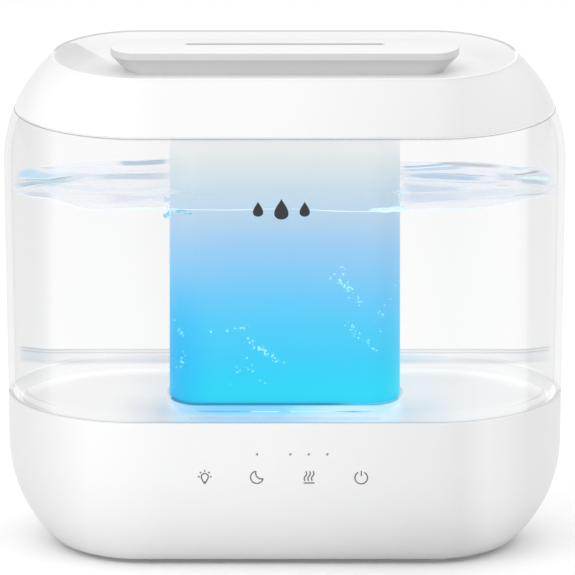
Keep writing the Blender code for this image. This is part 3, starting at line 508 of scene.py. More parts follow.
def rim_plastic(colour, roughness):
    """The inner side of the base, with a warm painted glow for light from the tank above and the night light,
    stronger at the back.
    """
    look = Shader("rim_plastic")
    # Painted glow, stronger towards the back.
    upright = look.ranged(look.axis("Y"), 0.02, 0.06, 0.70, 0.80)
    level_part = look.ranged(look.axis("Y"), 0.01, 0.05, 0.60, 0.82)
    glow = look.ranged(look.facing_up(), 0.3, 0.8, upright, level_part)
    warm = (1.0, 0.985, 0.97)
    look.set(
        Base_Color=look.drift(colour), Roughness=roughness, Emission_Color=warm, Emission_Strength=glow
    )
    return look.grained()


END_PAINTED_SHADE = (
    # x, and the share of light that one skin of the tank passes there, as painted shade that greys the ends
    (-126, 0.945), (-114, 0.945), (-111.5, 0.949), (-109, 0.954), (-107, 0.961), (-105.3, 0.967),
    (-104.4, 0.976), (-102, 0.983), (-70, 0.981), (-54, 0.973), (54, 0.982), (74, 0.978), (96, 0.983),
    (103, 0.983), (107.3, 0.975), (107.9, 0.967), (108.6, 0.952), (118, 0.952), (120, 0.96),
    (126, 0.96),
)
EDGE_PAINTED_SHADE = (
    # painted shade near the upright edges: distance from the middle where the wall stands upright, and what
    # the outer skin takes away besides
    (120.5, 1), (121.8, 0.965), (123, 0.975), (124, 0.985), (124.7, 0.95), (126, 0.95),
)


def clear_plastic(outer):
    """The tank's clear plastic: glossy, with painted shade greyer at its ends and near its upright edges,
    dark at its outer cut edges, and painted shade of the rear ledge inside.
    """
    look = Shader("clear_tank_plastic" if outer else "clear_tank_inside")
    x, y, z = look.axis("X"), look.axis("Y"), look.axis("Z")
    # Painted shade: greyer towards the ends.
    tint = look.spread(x, END_PAINTED_SHADE, linear=True)
    if outer:
        # Painted shade: darker near the upright edges.
        lean = look.ranged(z, BASE_ARC_Z, SHOULDER_Z, SIDE_LEAN, 0.0, smooth=False)
        bend = look.maths("POWER", look.maths("MAXIMUM", look.minus(z, SHOULDER_Z), 0.0), 2.0)
        bend = look.maths("DIVIDE", bend, 2 * SHOULDER_R)
        reach = look.plus(look.absolute(x), look.plus(lean, bend))
        tint = look.tinted(tint, look.spread(reach, EDGE_PAINTED_SHADE, linear=True))
        low_seam = look.window(z, SEAM_LOW - 0.0001, SEAM_LOW + 0.0006, 0.0001, 0.0002)
        high_seam = look.window(z, SEAM_HIGH - 0.0009, SEAM_HIGH + 0.0001, 0.0002, 0.0001)
        seams = look.times(look.plus(low_seam, high_seam), look.near_side())
        tint = look.mix(seams, tint, (0.58, 0.57, 0.61))
    else:
        tint = painted_ledge_shade(look, x, y, z, tint)
    mirrored = look.sheen(0.006, 0.40 if outer else 0.0)
    mirrored = look.times(mirrored, look.ranged(z, SEAM_LOW + 0.0015, SEAM_LOW + 0.0030))
    return look.see_through(mirrored, tint, look.gloss(0.06))


LEDGE_PAINTED_SHADE = (
    # x, and the share of light that the tank's rear ledge passes there, as painted shade
    (-118, 0.86, 0.9, 0.94), (-113, 0.82, 0.87, 0.92), (-105, 0.84, 0.88, 0.92),
    (-104.5, 0.87, 0.885, 0.9), (-82, 0.955, 0.965, 0.975), (-60, 0.91, 0.93, 0.95),
    (-50, 0.89, 0.92, 0.94), (50, 0.86, 0.94, 0.99), (55.7, 0.88, 0.95, 0.99), (73.5, 0.97, 0.98, 0.99),
    (95.7, 0.91, 0.925, 0.94), (109, 0.86, 0.88, 0.91), (118, 0.93, 0.94, 0.96),
)


def painted_ledge_shade(look, x, y, z, tint):
    """Painted shade for the faint level lines and the grey band of the tank's rear ledge, as they are seen
    from the front.
    """
    across = look.absolute(x)
    height = look.minus(look.seen_height(y, z), look.ranged(across, 0.105, 0.121, 0.0, 0.0014))
    rear = look.times(look.ranged(y, 0.0, 0.006), look.ranged(across, 0.1195, 0.1165))
    ledge = look.spread(x, LEDGE_PAINTED_SHADE, linear=True)
    # Painted shade: a grey band, then darker lines across the rear ledge.
    band = look.window(height, 0.0764, 0.0842, 0.0024, 0.0003)
    tint = look.mix(look.times(band, rear), tint, look.tinted(tint, ledge))
    for at, half, share in ((0.0838, 0.00055, 0.80), (0.0825, 0.00055, 0.82), (0.0787, 0.0012, 0.97)):
        line = look.ranged(look.absolute(look.minus(height, at)), half, half * 0.3)
        darker = look.tinted(tint, (share, share, share))
        tint = look.mix(look.times(line, rear), tint, darker)
    return tint


def water_body():
    """The water's sides: nearly nothing to see, with a faint cool tint."""
    look = Shader("water_body")
    tint = look.mix(look.noise(8.0, 1.0), (0.996, 0.998, 1.0), (0.999, 0.999, 1.0))
    return look.see_through(look.sheen(0.0, 0.05), tint, look.gloss(0.03))


WATER_PAINTED_REFLECTIONS = (
    # painted reflections: from x and y, to x and y, half width, all in millimetres, the colour as shown, and
    # how solid it is
    (-120, -4, -99, 8, 9, (184, 212, 226), 0.9), (-115, 15, -88, 33, 10, (206, 226, 240), 0.8),
    (93, 40, 118, 12, 16, (202, 218, 230), 0.9), (-85, 35, -51, 36, 8.5, (192, 210, 226), 0.85),
    (-100, 43.5, -51, 42.5, 2.2, (182, 196, 210), 0.9), (-76, 73.5, -51, 73, 5, (180, 199, 213), 1),
    (-70, 60, -51, 58, 2, (200, 212, 224), 0.7), (-80, -36, -51, -30, 22, (212, 220, 242), 0.75),
    (-118, 44, -103, 56, 5, (170, 190, 208), 0.85), (-121.5, 23, -102, 30, 15, (190, 228, 255), 0.95),
    (-119, -6, -96, 29, 7, (172, 206, 222), 0.9), (-119, 6, -94, 36, 1.8, (118, 166, 184), 0.95),
    (-120, 10, -90, 43, 1.6, (228, 252, 255), 1), (-117, -8, -94, 25, 1.8, (126, 172, 188), 0.9),
    (-119, -15, -90, 30, 1.5, (232, 253, 255), 1), (-116, -24, -102, -40, 10, (202, 213, 225), 0.85),
    (66, 76.5, 98, 59, 4.8, (196, 200, 204), 1), (51, 66, 74, 72, 3.4, (156, 192, 216), 0.95),
    (51, 58, 82, 65, 5.5, (180, 210, 240), 0.9), (51, 38, 90, 34, 8, (172, 208, 238), 0.9),
    (51, 44, 95, 40, 1.5, (150, 182, 206), 0.85), (51, 22, 100, 18, 8, (206, 224, 240), 0.85),
    (51, -2, 80, -6, 14, (196, 220, 240), 0.85), (51, -30, 82, -42, 17, (200, 216, 242), 0.8),
    (93, 28, 108, 20, 4, (200, 222, 236), 0.8), (99, 56, 117, 42, 5, (192, 218, 230), 0.9),
    (104, 18, 117, 6, 11, (186, 206, 224), 0.9), (102, 40, 114, 32, 2.2, (116, 142, 158), 0.95),
    (104, 29, 119, 11, 6, (232, 255, 255), 1), (101, -37, 116, -22, 2, (140, 152, 166), 0.9),
    (94, 8, 100, 6, 1.8, (160, 170, 182), 0.85),
)


def water_surface():
    """The water's rippled top, with painted reflections: pale lilac and white, blue and cyan streaks that
    gather at the ends, and a faint painted glow.
    """
    look = Shader("water_surface")
    x, y = look.axis("X"), look.axis("Y")
    bent = look.plus(y, look.times(look.minus(look.noise(34.0, 3.0), 0.5), 0.012))
    ripples = look.noise(46.0, 2.0, stretch=(0.14, 1.4, 1.0), distortion=0.4)
    tone = look.noise(20.0, 1.0, stretch=(0.7, 1.3, 1.0))
    # Painted reflections, pale lilac and white, bluer on the ripples.
    colour = look.mix(tone, display(236, 236, 248), display(236, 241, 247))
    colour = look.mix(look.ranged(ripples, 0.52, 0.70, 0.0, 0.75), colour, display(214, 228, 243))
    solid = look.ranged(ripples, 0.40, 0.70, 0.45, 0.75)
    for *sizes, shown, weight in WATER_PAINTED_REFLECTIONS:
        x1, y1, x2, y2, half_width = metres(sizes)
        here = look.times(look.streak(x, bent, (x1, y1), (x2, y2), half_width), weight)
        colour = look.mix(here, colour, display(*shown))
        solid = look.maths("MAXIMUM", solid, here)
    # In front of the duct the water is nearly clear, so that the duct shows through it.
    in_front = look.ranged(y, -0.020, -0.0245)
    before_duct = look.times(in_front, look.ranged(look.absolute(x), 0.0535, 0.0480))
    solid = look.times(solid, look.ranged(before_duct, 0.0, 1.0, 1.0, 0.16))
    look.set(Base_Color=colour, Roughness=0.25, Specular_IOR_Level=0.05)
    # A faint painted glow.
    look.set(Emission_Color=colour, Emission_Strength=0.20)
    return look.see_through(solid, (0.98, 0.99, 1.0))


def water_line():
    """A painted highlight, with a little painted glow, along the line where the water meets the wall."""
    look = Shader("water_line")
    glint = look.mix(look.noise(40.0), display(200, 238, 255), display(255, 255, 255))
    look.set(Base_Color=display(225, 245, 255), Roughness=0.15, Emission_Color=glint, Emission_Strength=0.25)
    return look.material


DUCT_PAINTED_GLOW = (
    # height and the colour of the painted glow there
    (65.8, 52, 226, 255), (72, 52, 225, 255), (77.7, 54, 221, 255), (86.8, 68, 214, 255),
    (100.4, 86, 212, 255), (113.3, 113, 209, 255), (136, 160, 211, 250), (149.7, 189, 219, 242),
    (163, 206, 228, 241), (168, 220, 234, 243), (174.7, 230, 240, 243), (181.5, 246, 247, 248),
)
NEAR_GLOW = (
    # x, and the night light's colour close under the duct
    (-60, 224, 231, 239), (-46.6, 182, 220, 245), (-37.7, 150, 216, 252), (-28.8, 136, 216, 253),
    (-2, 136, 219, 254), (6.8, 158, 234, 251), (15.7, 186, 235, 251), (24.6, 198, 239, 255),
    (42.4, 200, 233, 248), (56, 216, 232, 243),
)
FAR_GLOW = (
    # x, and the night light's colour at the tank's front
    (-64.4, 231, 233, 238), (-55.5, 221, 229, 239), (-46.6, 205, 226, 237), (-37.7, 189, 218, 238),
    (-28.8, 181, 214, 239), (-2, 180, 214, 243), (6.8, 189, 219, 241), (15.7, 204, 227, 244),
    (42.4, 213, 231, 245), (60, 222, 231, 240),
)


DECK_PAINTED_LIGHT = (
    # x, and the share of painted light on the deck there
    (-125, 0.9, 0.89, 0.88), (-100, 0.97, 0.96, 0.95), (-75, 1, 0.985, 0.97), (-60, 0.93, 0.955, 0.965),
    (-52, 0.87, 0.93, 0.95), (52, 0.85, 0.95, 1), (60, 0.88, 0.95, 0.99), (75, 0.93, 0.96, 0.98),
    (90, 0.97, 0.97, 0.97), (125, 0.94, 0.93, 0.92),
)


def duct_plastic():
    """Frosted plastic with a painted glow from the night light below: cyan at the foot, fading to a cool
    white at the top.
    """
    look = Shader("frosted_duct_plastic")
    x, z = look.axis("X"), look.axis("Z")
    wander = look.times(look.minus(look.noise(11.0, 2.0), 0.5), 0.012)
    glow = look.spread(look.plus(z, wander), DUCT_PAINTED_GLOW)
    # Painted glow, a deeper blue towards the lower left edge.
    edge = look.times(look.ranged(x, -0.030, -0.052), look.ranged(z, 0.135, 0.085), 0.75)
    glow = look.mix(edge, glow, display(44, 184, 252))
    glow = look.mix(look.ranged(z, 0.0660, 0.0654), glow, look.spread(x, NEAR_GLOW))
    frost = look.ranged(look.noise(500.0, 2.0), 0.3, 0.7, 0.45, 0.50)
    look.set(Base_Color=look.mix(0.50, glow, (0.0, 0.0, 0.0)), Specular_IOR_Level=0.1, Roughness=frost)
    look.set(Emission_Color=glow, Emission_Strength=look.ranged(z, 0.0660, 0.0650, 0.49, 0.71))
    return look.grained(1400.0)


def glow_on_deck(name, colour, roughness):
    """The tray's plastic, which carries the night light, with a painted glow: cyan round the lens, white
    elsewhere, a little dimmer at the back.
    """
    look = Shader(name)
    x, y = look.axis("X"), look.axis("Y")
    near, far = look.spread(x, NEAR_GLOW), look.spread(x, FAR_GLOW)
    hue = look.mix(look.ranged(y, -0.020, -0.034), near, far)
    sides = look.times(look.ranged(y, -0.080, -0.050, 0.3, 1.0), look.ranged(y, 0.020, -0.020))
    glow = look.times(look.ranged(look.absolute(x), 0.080, 0.052), sides)
    # Painted light, stronger round the lens and dimmer towards the back.
    strength = look.times(
        look.ranged(glow, 0.0, 1.0, 0.81, 0.94), look.ranged(look.axis("Y"), 0.030, 0.070, 1.0, 0.91)
    )
    white = look.spread(look.axis("X"), DECK_PAINTED_LIGHT, linear=True)
    look.set(
        Base_Color=look.mix(glow, look.drift(colour), (0.08, 0.08, 0.08)),
        Roughness=look.worn(roughness),
        Emission_Color=look.mix(glow, white, hue),
        Emission_Strength=strength,
    )
    return look.grained(700.0, 0.000006)


LENS_LAMP_STEP = 0.0148


def lit_lens():
    """The night light's lens bar: the same colours as the deck round it, a little brighter over its lamps."""
    look = Shader("lit_lens")
    x = look.axis("X")
    lamps = look.maths("SINE", look.times(x, 2 * math.pi / LENS_LAMP_STEP))
    brighter = look.ranged(lamps, -1.0, 1.0, 0.0, 0.10)
    colour = look.mix(brighter, look.spread(x, FAR_GLOW), display(255, 255, 255))
    look.set(Base_Color=(0.08, 0.08, 0.08), Roughness=0.4, Emission_Color=colour, Emission_Strength=0.84)
    return look.grained(900.0, 0.000006)


def metal(name, colour, roughness):
    """Plain metal with fine tool marks."""
    look = Shader(name)
    marks = look.noise(700.0, 3.0)
    polish = look.ranged(marks, 0.3, 0.7, roughness * 0.75, roughness * 1.3)
    look.set(Base_Color=look.drift(colour, 0.9, 90.0, 3.0), Metallic=1.0, Roughness=polish)
    look.bump(marks, 0.00002)
    return look.material


def circuit_board():
    """Solder mask over copper tracks, with a few bare pads."""
    look = Shader("circuit_board")
    bricks = {"Color1": (0.0, 0.0, 0.0), "Color2": (0.1, 0.1, 0.1), "Mortar": WHITE}
    bricks |= {"Vector": look.place, "Scale": 180.0, "Mortar Size": 0.035}
    tracks = look.add("TexBrick", bricks).outputs["Fac"]
    dots = look.add("TexVoronoi", {"Vector": look.place, "Scale": 260.0}).outputs[0]
    pads = look.ranged(dots, 0.22, 0.18)
    green = look.mix(tracks, display(12, 84, 44), display(30, 122, 66))
    colour = look.mix(pads, green, display(205, 190, 150))
    look.set(Base_Color=colour, Metallic=pads, Roughness=look.ranged(pads, 0.0, 1.0, 0.35, 0.3))
    look.bump(tracks, 0.00004)
    return look.material


def lit_silicone():
    """The duct's clear silicone seal, with a painted glow from the night light: a deep blue line along the
    duct's front, and pale beside it.
    """
    look = Shader("lit_silicone")
    x = look.axis("X")
    tone = look.mix(look.noise(60.0), display(40, 140, 190), display(60, 160, 205))
    bright = look.mix(look.ranged(x, 0.018, 0.034), tone, display(90, 214, 250))
    beside = look.ranged(look.absolute(x), 0.0500, 0.0512)
    colour = look.mix(beside, bright, display(232, 239, 246))
    dimmed = look.mix(0.5, colour, (0.0, 0.0, 0.0))
    # Painted glow from the night light.
    look.set(Base_Color=dimmed, Roughness=0.5, Emission_Color=colour, Emission_Strength=0.40)
    return look.grained(700.0, 0.00001)


def print_ink(name, scale, dark, light, roughness):
    """Printed ink, between two shades of grey."""
    look = Shader(name)
    look.set(Base_Color=look.mix(look.noise(scale), display(*dark), display(*light)), Roughness=roughness)
    return look.material


def bubble_skin():
    """Air against the duct: rims with a painted cyan glow round clear middles."""
    look = Shader("bubble_skin")
    tone = look.mix(look.noise(300.0), display(128, 230, 255), display(196, 248, 255))
    # Painted cyan glow.
    look.set(Base_Color=tone, Roughness=0.1, Emission_Color=tone, Emission_Strength=0.38)
    return look.see_through(look.ranged(look.facing(), 0.10, 0.70, 0.25, 0.95), WHITE)


def splash_water():
    """Thrown-up water with a painted cyan glow, nearly white in patches."""
    look = Shader("splash_water")
    x = look.axis("X")
    deep = look.mix(look.ranged(x, 0.0, 0.04), display(118, 196, 230), display(214, 246, 255))
    tone = look.mix(look.ranged(look.noise(420.0, 2.0), 0.46, 0.60), deep, display(226, 252, 255))
    look.set(Base_Color=tone, Roughness=0.12, Specular_IOR_Level=0.2)
    # A faint painted glow.
    look.set(Emission_Color=tone, Emission_Strength=0.12)
    return look.see_through(look.ranged(look.facing(), 0.05, 0.6, 0.55, 0.95), (0.9, 0.97, 1.0))


# ---- shells
def base_casing(material, inside):
    """The white base: flat flange underneath, round flank, and a soft edge at its open rim."""
    start = BASE_LOW.z + 0.0009
    flange = COVER_INSET - FIT
    outer = case_skin([*span(start, BASE_ARC_Z, 18), SEAM_FOOT])
    inner = case_skin([SEAM_FOOT, *span(BASE_ARC_Z, start + 0.0012, 14)], BASE_WALL)
    profile = [(flange, BASE_LOW.z), (case_inset(start) + 0.0014, BASE_LOW.z), *outer, *inner]
    profile.append((flange, BASE_LOW.z + BASE_WALL))
    rim = 1 + len(outer)
    profile = filleted(profile, {1: 0.0010, rim: 0.0006, rim + 1: 0.0005})
    obj = sweep("base_casing", [case_ring(inset, z) for inset, z in profile])
    guide, jack = ((low + high) / 2 for low, high in (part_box("lamp_light_guide"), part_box("dc_jack")))
    holes = [((x, -HALF_DEPTH, guide.z), (0, 1, 0), LAMP_HOLE_R, 0.02) for x in lamp_places()]
    drilled(obj, *holes, ((jack.x, HALF_DEPTH, jack.z), (0, 1, 0), JACK_HOLE_R, 0.02))
    placed(obj, "base", material, ["base_shell"])

    def is_inner(face):
        return faces_in(face) or (face.center.y > 0 and face.normal.z > 0.5)

    return painted_inside(obj, inside, is_inner)


def tank_vessel(material, inside):
    """The clear tank: a plug with its floor, the wall and shoulder, and the neck inside the lid."""
    floor, neck = TANK_LOW.z, TANK_HIGH.z
    plug = case_inset(SEAM_LOW) + TANK_STEP
    top = SEAM_HIGH - SEAM_GAP / 2
    shoulder = span(SHOULDER_Z, top, 10)
    under_neck = top - LEDGE_DROP - TANK_WALL
    outer = [(plug, floor), (plug, SEAM_TOP), *case_skin([SEAM_TOP, 0.10, 0.14, *shoulder])]
    outer += [(NECK_INSET, top - LEDGE_DROP), (NECK_INSET, neck)]
    inner = [(NECK_INSET + TANK_WALL, neck), (NECK_INSET + TANK_WALL, under_neck + 0.0006)]
    inner += [p for p in case_skin(shoulder[::-1], TANK_WALL) if p[1] < under_neck]
    inner += case_skin([0.14, 0.10, SEAM_TOP + TANK_WALL], TANK_WALL)
    inner += [(plug + TANK_WALL, SEAM_TOP + TANK_WALL - 0.0008), (plug + TANK_WALL, floor + TANK_WALL)]
    radii = {0: 0.0009, 1: 0.0004, 2: 0.0007, -3: 0.0012, -2: 0.0012, -1: 0.0020}
    radii |= {len(outer) + i: radius for i, radius in enumerate((0.0006, 0.0004, 0.0008, 0.0008), -3)}
    rings = [case_ring(inset, z) for inset, z in filleted(outer + inner, radii)]
    obj = sweep("tank_vessel", [duct_ring(-DUCT_GAP, floor), *rings, duct_ring(-DUCT_GAP, floor + TANK_WALL)])
    drilled(obj, ((*VALVE_AT, floor + TANK_WALL / 2), (0, 0, 1), VALVE_HOLE_R, 0.012))
    placed(obj, "tank", material, ["tank_shell"])

    def is_inner(face):
        return faces_in(face) or face.center.z < SEAM_TOP + 0.00005 or abs(face.normal.z) > 0.9

    return lets_light_in(painted_inside(obj, inside, is_inner))


def lid_cover(material, inside):
    """The white lid: shoulder, crisp rim, and a dished recess down to the deck round the nozzle bar."""
    low, rim = SEAM_HIGH + SEAM_GAP / 2, RIM_Z
    outer = case_skin(span(low, rim - 0.0010, 16))
    crest = outer[-1][0]
    drop = rim - DECK_Z
    dish = []
    for share in span(0.0, 1.0, 12):
        fall = math.sin(math.pi / 2 * share) ** 1.5
        dish.append((crest + 0.0008 + 0.0132 * share, rim - 0.0003 - (drop - 0.0003) * fall))
    under = [(inset, z - LID_WALL) for inset, z in dish[::-1] if z - LID_WALL < rim - 0.0045]
    inner = [p for p in case_skin(span(rim - 0.0030, low, 10), LID_WALL) if p[1] < rim - 0.0040]
    profile = [*outer, (crest + 0.0002, rim - 0.0002), (crest + 0.0004, rim), (crest + 0.0006, rim - 0.0001)]
    profile += [*dish, *under, *inner]
    profile = filleted(profile, {0: 0.0006, -1: 0.0005})
    rings = [case_ring(inset, z) for inset, z in profile]
    hole = plan(*SPIGOT_HALF, SPIGOT_END, -FIT)
    at = 1 + max(i for i, (inset, z) in enumerate(profile) if abs(z - DECK_Z) < 1e-7)
    rings[at:at] = [level(hole, DECK_Z), level(hole, DECK_Z - LID_WALL)]
    obj = placed(sweep("lid_cover", rings), "lid", material, ["lid_shell"])

    def in_recess(face):
        z = face.center.z
        return z > rim - 0.0006 or (z > DECK_Z - 0.0001 and (faces_in(face) or face.normal.z > 0.9))

    return painted_inside(obj, inside, in_recess)


def mist_bar(material):
    """The nozzle bar: flat top with its slot, rounded lip, slanted underside, and a hollow stem."""
    foot, top, wall = BAR_LOW.z, BAR_HIGH.z, BAR_WALL
    stem_low, stem_high = DECK_Z + 0.00003, DECK_Z + 0.0005
    lip_low = top - BAR_LIP
    spigot, stem, lip = (SPIGOT_HALF, SPIGOT_END), (STEM_HALF, STEM_END), (BAR_HALF, BAR_END)

    def ring(outline, z, inset=0.0):
        size, end = outline
        shift = BAR_SHIFT * max(0.0, min(1.0, (z - stem_high) / (lip_low - stem_high)))
        return level(plan(*size, end, inset, (0.0, shift)), z)

    def slot_ring(z, inset=0.0):
        return level(plan(*SLOT_HALF, SLOT_HALF[1] * 0.999, inset, (0.0, SLOT_AT)), z)

    rings = [ring(spigot, foot), ring(spigot, stem_low), ring(stem, stem_low), ring(stem, stem_high)]
    for t in span(0.1, 0.9, 4):
        size = [stem[0][i] + (lip[0][i] - stem[0][i]) * t for i in range(2)]
        rings.append(ring((size, stem[1] + (lip[1] - stem[1]) * t), stem_high + (lip_low - stem_high) * t))
    rings += [ring(lip, lip_low, 0.00012), ring(lip, lip_low + 0.00015)]
    edge = 0.0005
    for turn in map(math.radians, span(0.0, 90.0, 6)):
        rings.append(ring(lip, top - edge + edge * math.sin(turn), edge * (1 - math.cos(turn))))
    rings += [slot_ring(top, -0.0004), slot_ring(top - 0.0004), slot_ring(top - wall)]
    rings += [ring(lip, top - wall, wall), ring(lip, lip_low + 0.0002, wall)]
    rings += [ring(stem, stem_high + wall * 0.6, wall), ring(stem, stem_low + wall, wall)]
    rings += [ring(spigot, stem_low + wall, wall), ring(spigot, foot, wall)]
    return placed(sweep("mist_bar", rings), "lid", material, ["nozzle_bar"])


def mist_chimney(material):
    """The frosted duct through the tank, open at both ends."""
    low, high = DUCT_LOW.z, DUCT_HIGH.z
    profile = [(0.0, low), *[(0.0, z) for z in span(low + 0.01, high - 0.01, 6)], (0.0, high)]
    profile += [(DUCT_WALL, high), (DUCT_WALL, low)]
    profile = filleted(profile, {0: 0.0008, -3: 0.0008, -2: 0.0006, -1: 0.0006})
    obj = sweep("mist_chimney", [duct_ring(inset, z) for inset, z in profile])
    return placed(obj, "tank", material, ["mist_duct"])


# ---- water
WATER_Z, WATER_GAP = 0.1592, 0.0003
WATER_ROWS = 26
SLOSH = 0.0034
CLIMB = 0.0011
BEAD_SIDES = 6


def water_height(x, y):
    """The rippled surface, a little higher at the front than at the back, and calm and higher at the ends."""
    end, tip = (max(0.0, min(1.0, (abs(x) - past) / over)) for past, over in ((0.080, 0.036), (0.104, 0.016)))
    end, tip = (t * t * (3 - 2 * t) for t in (end, tip))
    calm = 1.0 - 0.8 * end
    slosh = SLOSH * (1 - tip)
    z = WATER_Z - slosh * math.sin(math.pi / 2 * y / HALF_DEPTH) + 0.0012 * end
    z += 0.0005 * calm * math.sin(x * 95 + 1.7 * math.sin(y * 60))
    z += 0.0004 * calm * math.sin(y * 210 + 2.0 * math.sin(x * 41 + 0.6))
    return z + 0.0008 * calm * noise.noise(Vector((x * 38, y * 60, 0.4)))


def water(body_material, top_material):
    """The water in the tank, round the duct. Its top is rippled and climbs a little at every wall."""
    floor = SEAM_TOP + TANK_WALL + 0.0014
    steps = WATER_STRAIGHT_STEPS
    gap = TANK_WALL + WATER_GAP
    wall = [case_ring(case_inset(floor) + gap + 0.0010, floor, steps)]
    wall += [case_ring(inset, z, steps) for inset, z in case_skin([floor + 0.0010, 0.10, 0.13], gap)]
    outer = case_ring(case_inset(WATER_Z) + gap, WATER_Z, steps)
    inner = duct_ring(-WATER_GAP, WATER_Z, steps)
    top = []
    for t in span(0.0, 1.0, WATER_ROWS):
        climb = CLIMB * (math.exp(-t * 16) + math.exp(-(1 - t) * 16))
        across = [a.lerp(b, t) for a, b in zip(outer, inner)]
        top.append([Vector((p.x, p.y, water_height(p.x, p.y) + climb)) for p in across])
    duct_side = [duct_ring(-WATER_GAP, z, steps) for z in (0.12, floor)]
    obj = placed(sweep("tank_water", [*wall, *top, *duct_side]), "tank", body_material)
    painted_inside(obj, top_material, lambda face: face.normal.z > 0.4 and face.center.z > WATER_Z - 0.01)
    return lets_light_in(obj)


def water_edge(material):
    """A thin bead along the line where the water meets the tank's wall, which carries a painted highlight."""
    inset = case_inset(WATER_Z) + TANK_WALL
    outline, across = (case_ring(inset + more, WATER_Z, WATER_STRAIGHT_STEPS) for more in (0.0011, 0.0021))
    rings = []
    for i in range(BEAD_SIDES):
        angle = 2 * math.pi * i / BEAD_SIDES
        ring = []
        for point, inward in zip(outline, across):
            thick = 0.00013 + 0.00008 * noise.noise(Vector((point.x * 45, point.y * 45, 2.0)))
            thick *= 1.0 if point.y < -0.03 else 0.45
            base = Vector((point.x, point.y, water_height(point.x, point.y) + CLIMB))
            way = (point - inward).normalized()
            ring.append(base + way * thick * math.cos(angle) + Vector((0, 0, thick * math.sin(angle))))
        rings.append(ring)
    return lets_light_in(placed(sweep("water_edge", rings[::-1]), "tank", material))


BUBBLE_REACH, BUBBLE_SEED = 0.049, 7
BUBBLES = (
    # centre x and z, spread and largest radius, all in millimetres, then lean and count
    (25, 128, 1.4, 0.56, -0.5, 6), (27.5, 120, 3.8, 0.70, -1.2, 28), (33.5, 112.5, 2, 0.50, -1, 8),
    (30, 101, 2.8, 0.58, -1.6, 20), (42, 106, 5.2, 0.52, 2.2, 12), (37, 94, 3.6, 0.56, -0.8, 12),
    (-33, 99, 0.3, 0.80, 0, 1), (-25.3, 99.6, 0.3, 1, 0, 1), (-18.5, 101.5, 1.6, 0.62, 0.3, 8),
    (-11.5, 91.5, 2.2, 0.72, -0.9, 22), (-4.5, 86.8, 2.4, 0.70, -0.6, 12), (-16, 80.8, 7, 0.54, -0.1, 16),
    (-46.5, 99, 2.4, 0.56, -1, 8), (-46, 85, 2.8, 0.50, 2, 14),
)


def bubbles(material):
    """Small air bubbles clinging to the front of the duct, in a few loose clusters."""
    draw = random.Random(BUBBLE_SEED)
    mesh = bmesh.new()
    for *sizes, lean, count in BUBBLES:
        x, z, spread, largest = metres(sizes)
        for _ in range(count):
            along, aside = draw.gauss(0, 1), draw.gauss(0, 0.35)
            length = math.hypot(1, lean)
            at_x = x + spread * (along - lean * aside) / length
            at_z = z + spread * (along * lean + aside) / length
            radius = largest * draw.uniform(0.30, 0.85)
            at_x = max(-BUBBLE_REACH, min(BUBBLE_REACH, at_x))
            place = Matrix.Translation((at_x, duct_front(at_x) - radius * 0.9 - WATER_GAP, at_z))
            bmesh.ops.create_icosphere(mesh, subdivisions=2, radius=radius, matrix=place)
    return lets_light_in(placed(from_bmesh("air_bubbles", mesh, 180.0), "tank", material))


SPLASHES = (
    # centre and half sizes, in millimetres
    (-52.4, -29, 159.8, 1.3, 1, 1.6), (-52.2, -73.5, 161, 1.6, 0.8, 1.4), (-47.8, -73.8, 163, 4.2, 1, 0.6),
    (-43, -73.8, 161.8, 2.2, 0.8, 0.3), (44, -73.5, 163.4, 6.4, 1, 1.1), (50, -73, 163.6, 4, 1, 1.3),
    (51.4, -24, 160.6, 0.9, 1, 1.8),
)


def splashes(material):
    """Small tongues and drops of water where the surface meets the front of the tank and the duct."""
    mesh = bmesh.new()
    for sizes in SPLASHES:
        x, y, z, *size = metres(sizes)
        centre = Vector((x, y, z))
        place = Matrix.Translation(centre) @ Matrix.Diagonal((*size, 1.0))
        made = bmesh.ops.create_icosphere(mesh, subdivisions=3, radius=1.0, matrix=place)
        for vert in made["verts"]:
            push = 0.35 * noise.noise(vert.co * 900) + 0.25 * noise.noise(vert.co * 300)
            vert.co = centre + (vert.co - centre) * (1.0 + push)
    return lets_light_in(placed(from_bmesh("water_splashes", mesh, 180.0), "tank", material))


def duct_front(x):
    """The Y of the duct's front face at x."""
    past = max(0.0, abs(x) - (DUCT_HIGH.x - DUCT_END))
    return -DUCT_HIGH.y * math.sqrt(max(0.0, 1 - (past / DUCT_END) ** 2))


# ---- print
PRINT_LIFT, PRINT_T, STROKE = 0.00003, 0.00006, 0.00052
ICON_Z, ICON_PITCH, ICON_CENTRE = 0.0436, 0.0231, -0.0008
LAMP_PITCH = 0.0082
DROP_Z, DROP_STEPS = 0.1650, 36


def icon_x(index):
    return ICON_CENTRE + (index - 1.5) * ICON_PITCH


def lamp_places():
    return [icon_x(1), *[icon_x(2) + step * LAMP_PITCH for step in (-1, 0, 1)]]


def arc(centre, radius, start, end, steps):
    """Points of an arc, with angles in degrees anticlockwise from +X."""
    turns = map(math.radians, span(start, end, steps))
    return [(centre[0] + radius * math.cos(turn), centre[1] + radius * math.sin(turn)) for turn in turns]


def strip(mesh, points, to_surface, closed):
    """A flat printed line along 2-D points, laid on a surface, as a thin closed solid."""
    count = len(points)
    low, high = PRINT_LIFT, PRINT_LIFT + PRINT_T
    rows = []
    for i, point in enumerate(points):
        before = points[i - 1] if i or closed else point
        after = points[(i + 1) % count] if i < count - 1 or closed else point
        way = (Vector(after) - Vector(before)).normalized()
        side = Vector((-way.y, way.x)) * STROKE / 2
        left, right = Vector(point) + side, Vector(point) - side
        corners = ((left, low), (right, low), (right, high), (left, high))
        rows.append([mesh.verts.new(to_surface(p, lift)) for p, lift in corners])
    bridged(mesh, rows, closed)


def case_front(z):
    """The Y of the case's flat front at height z."""
    return case_inset(z) - HALF_DEPTH


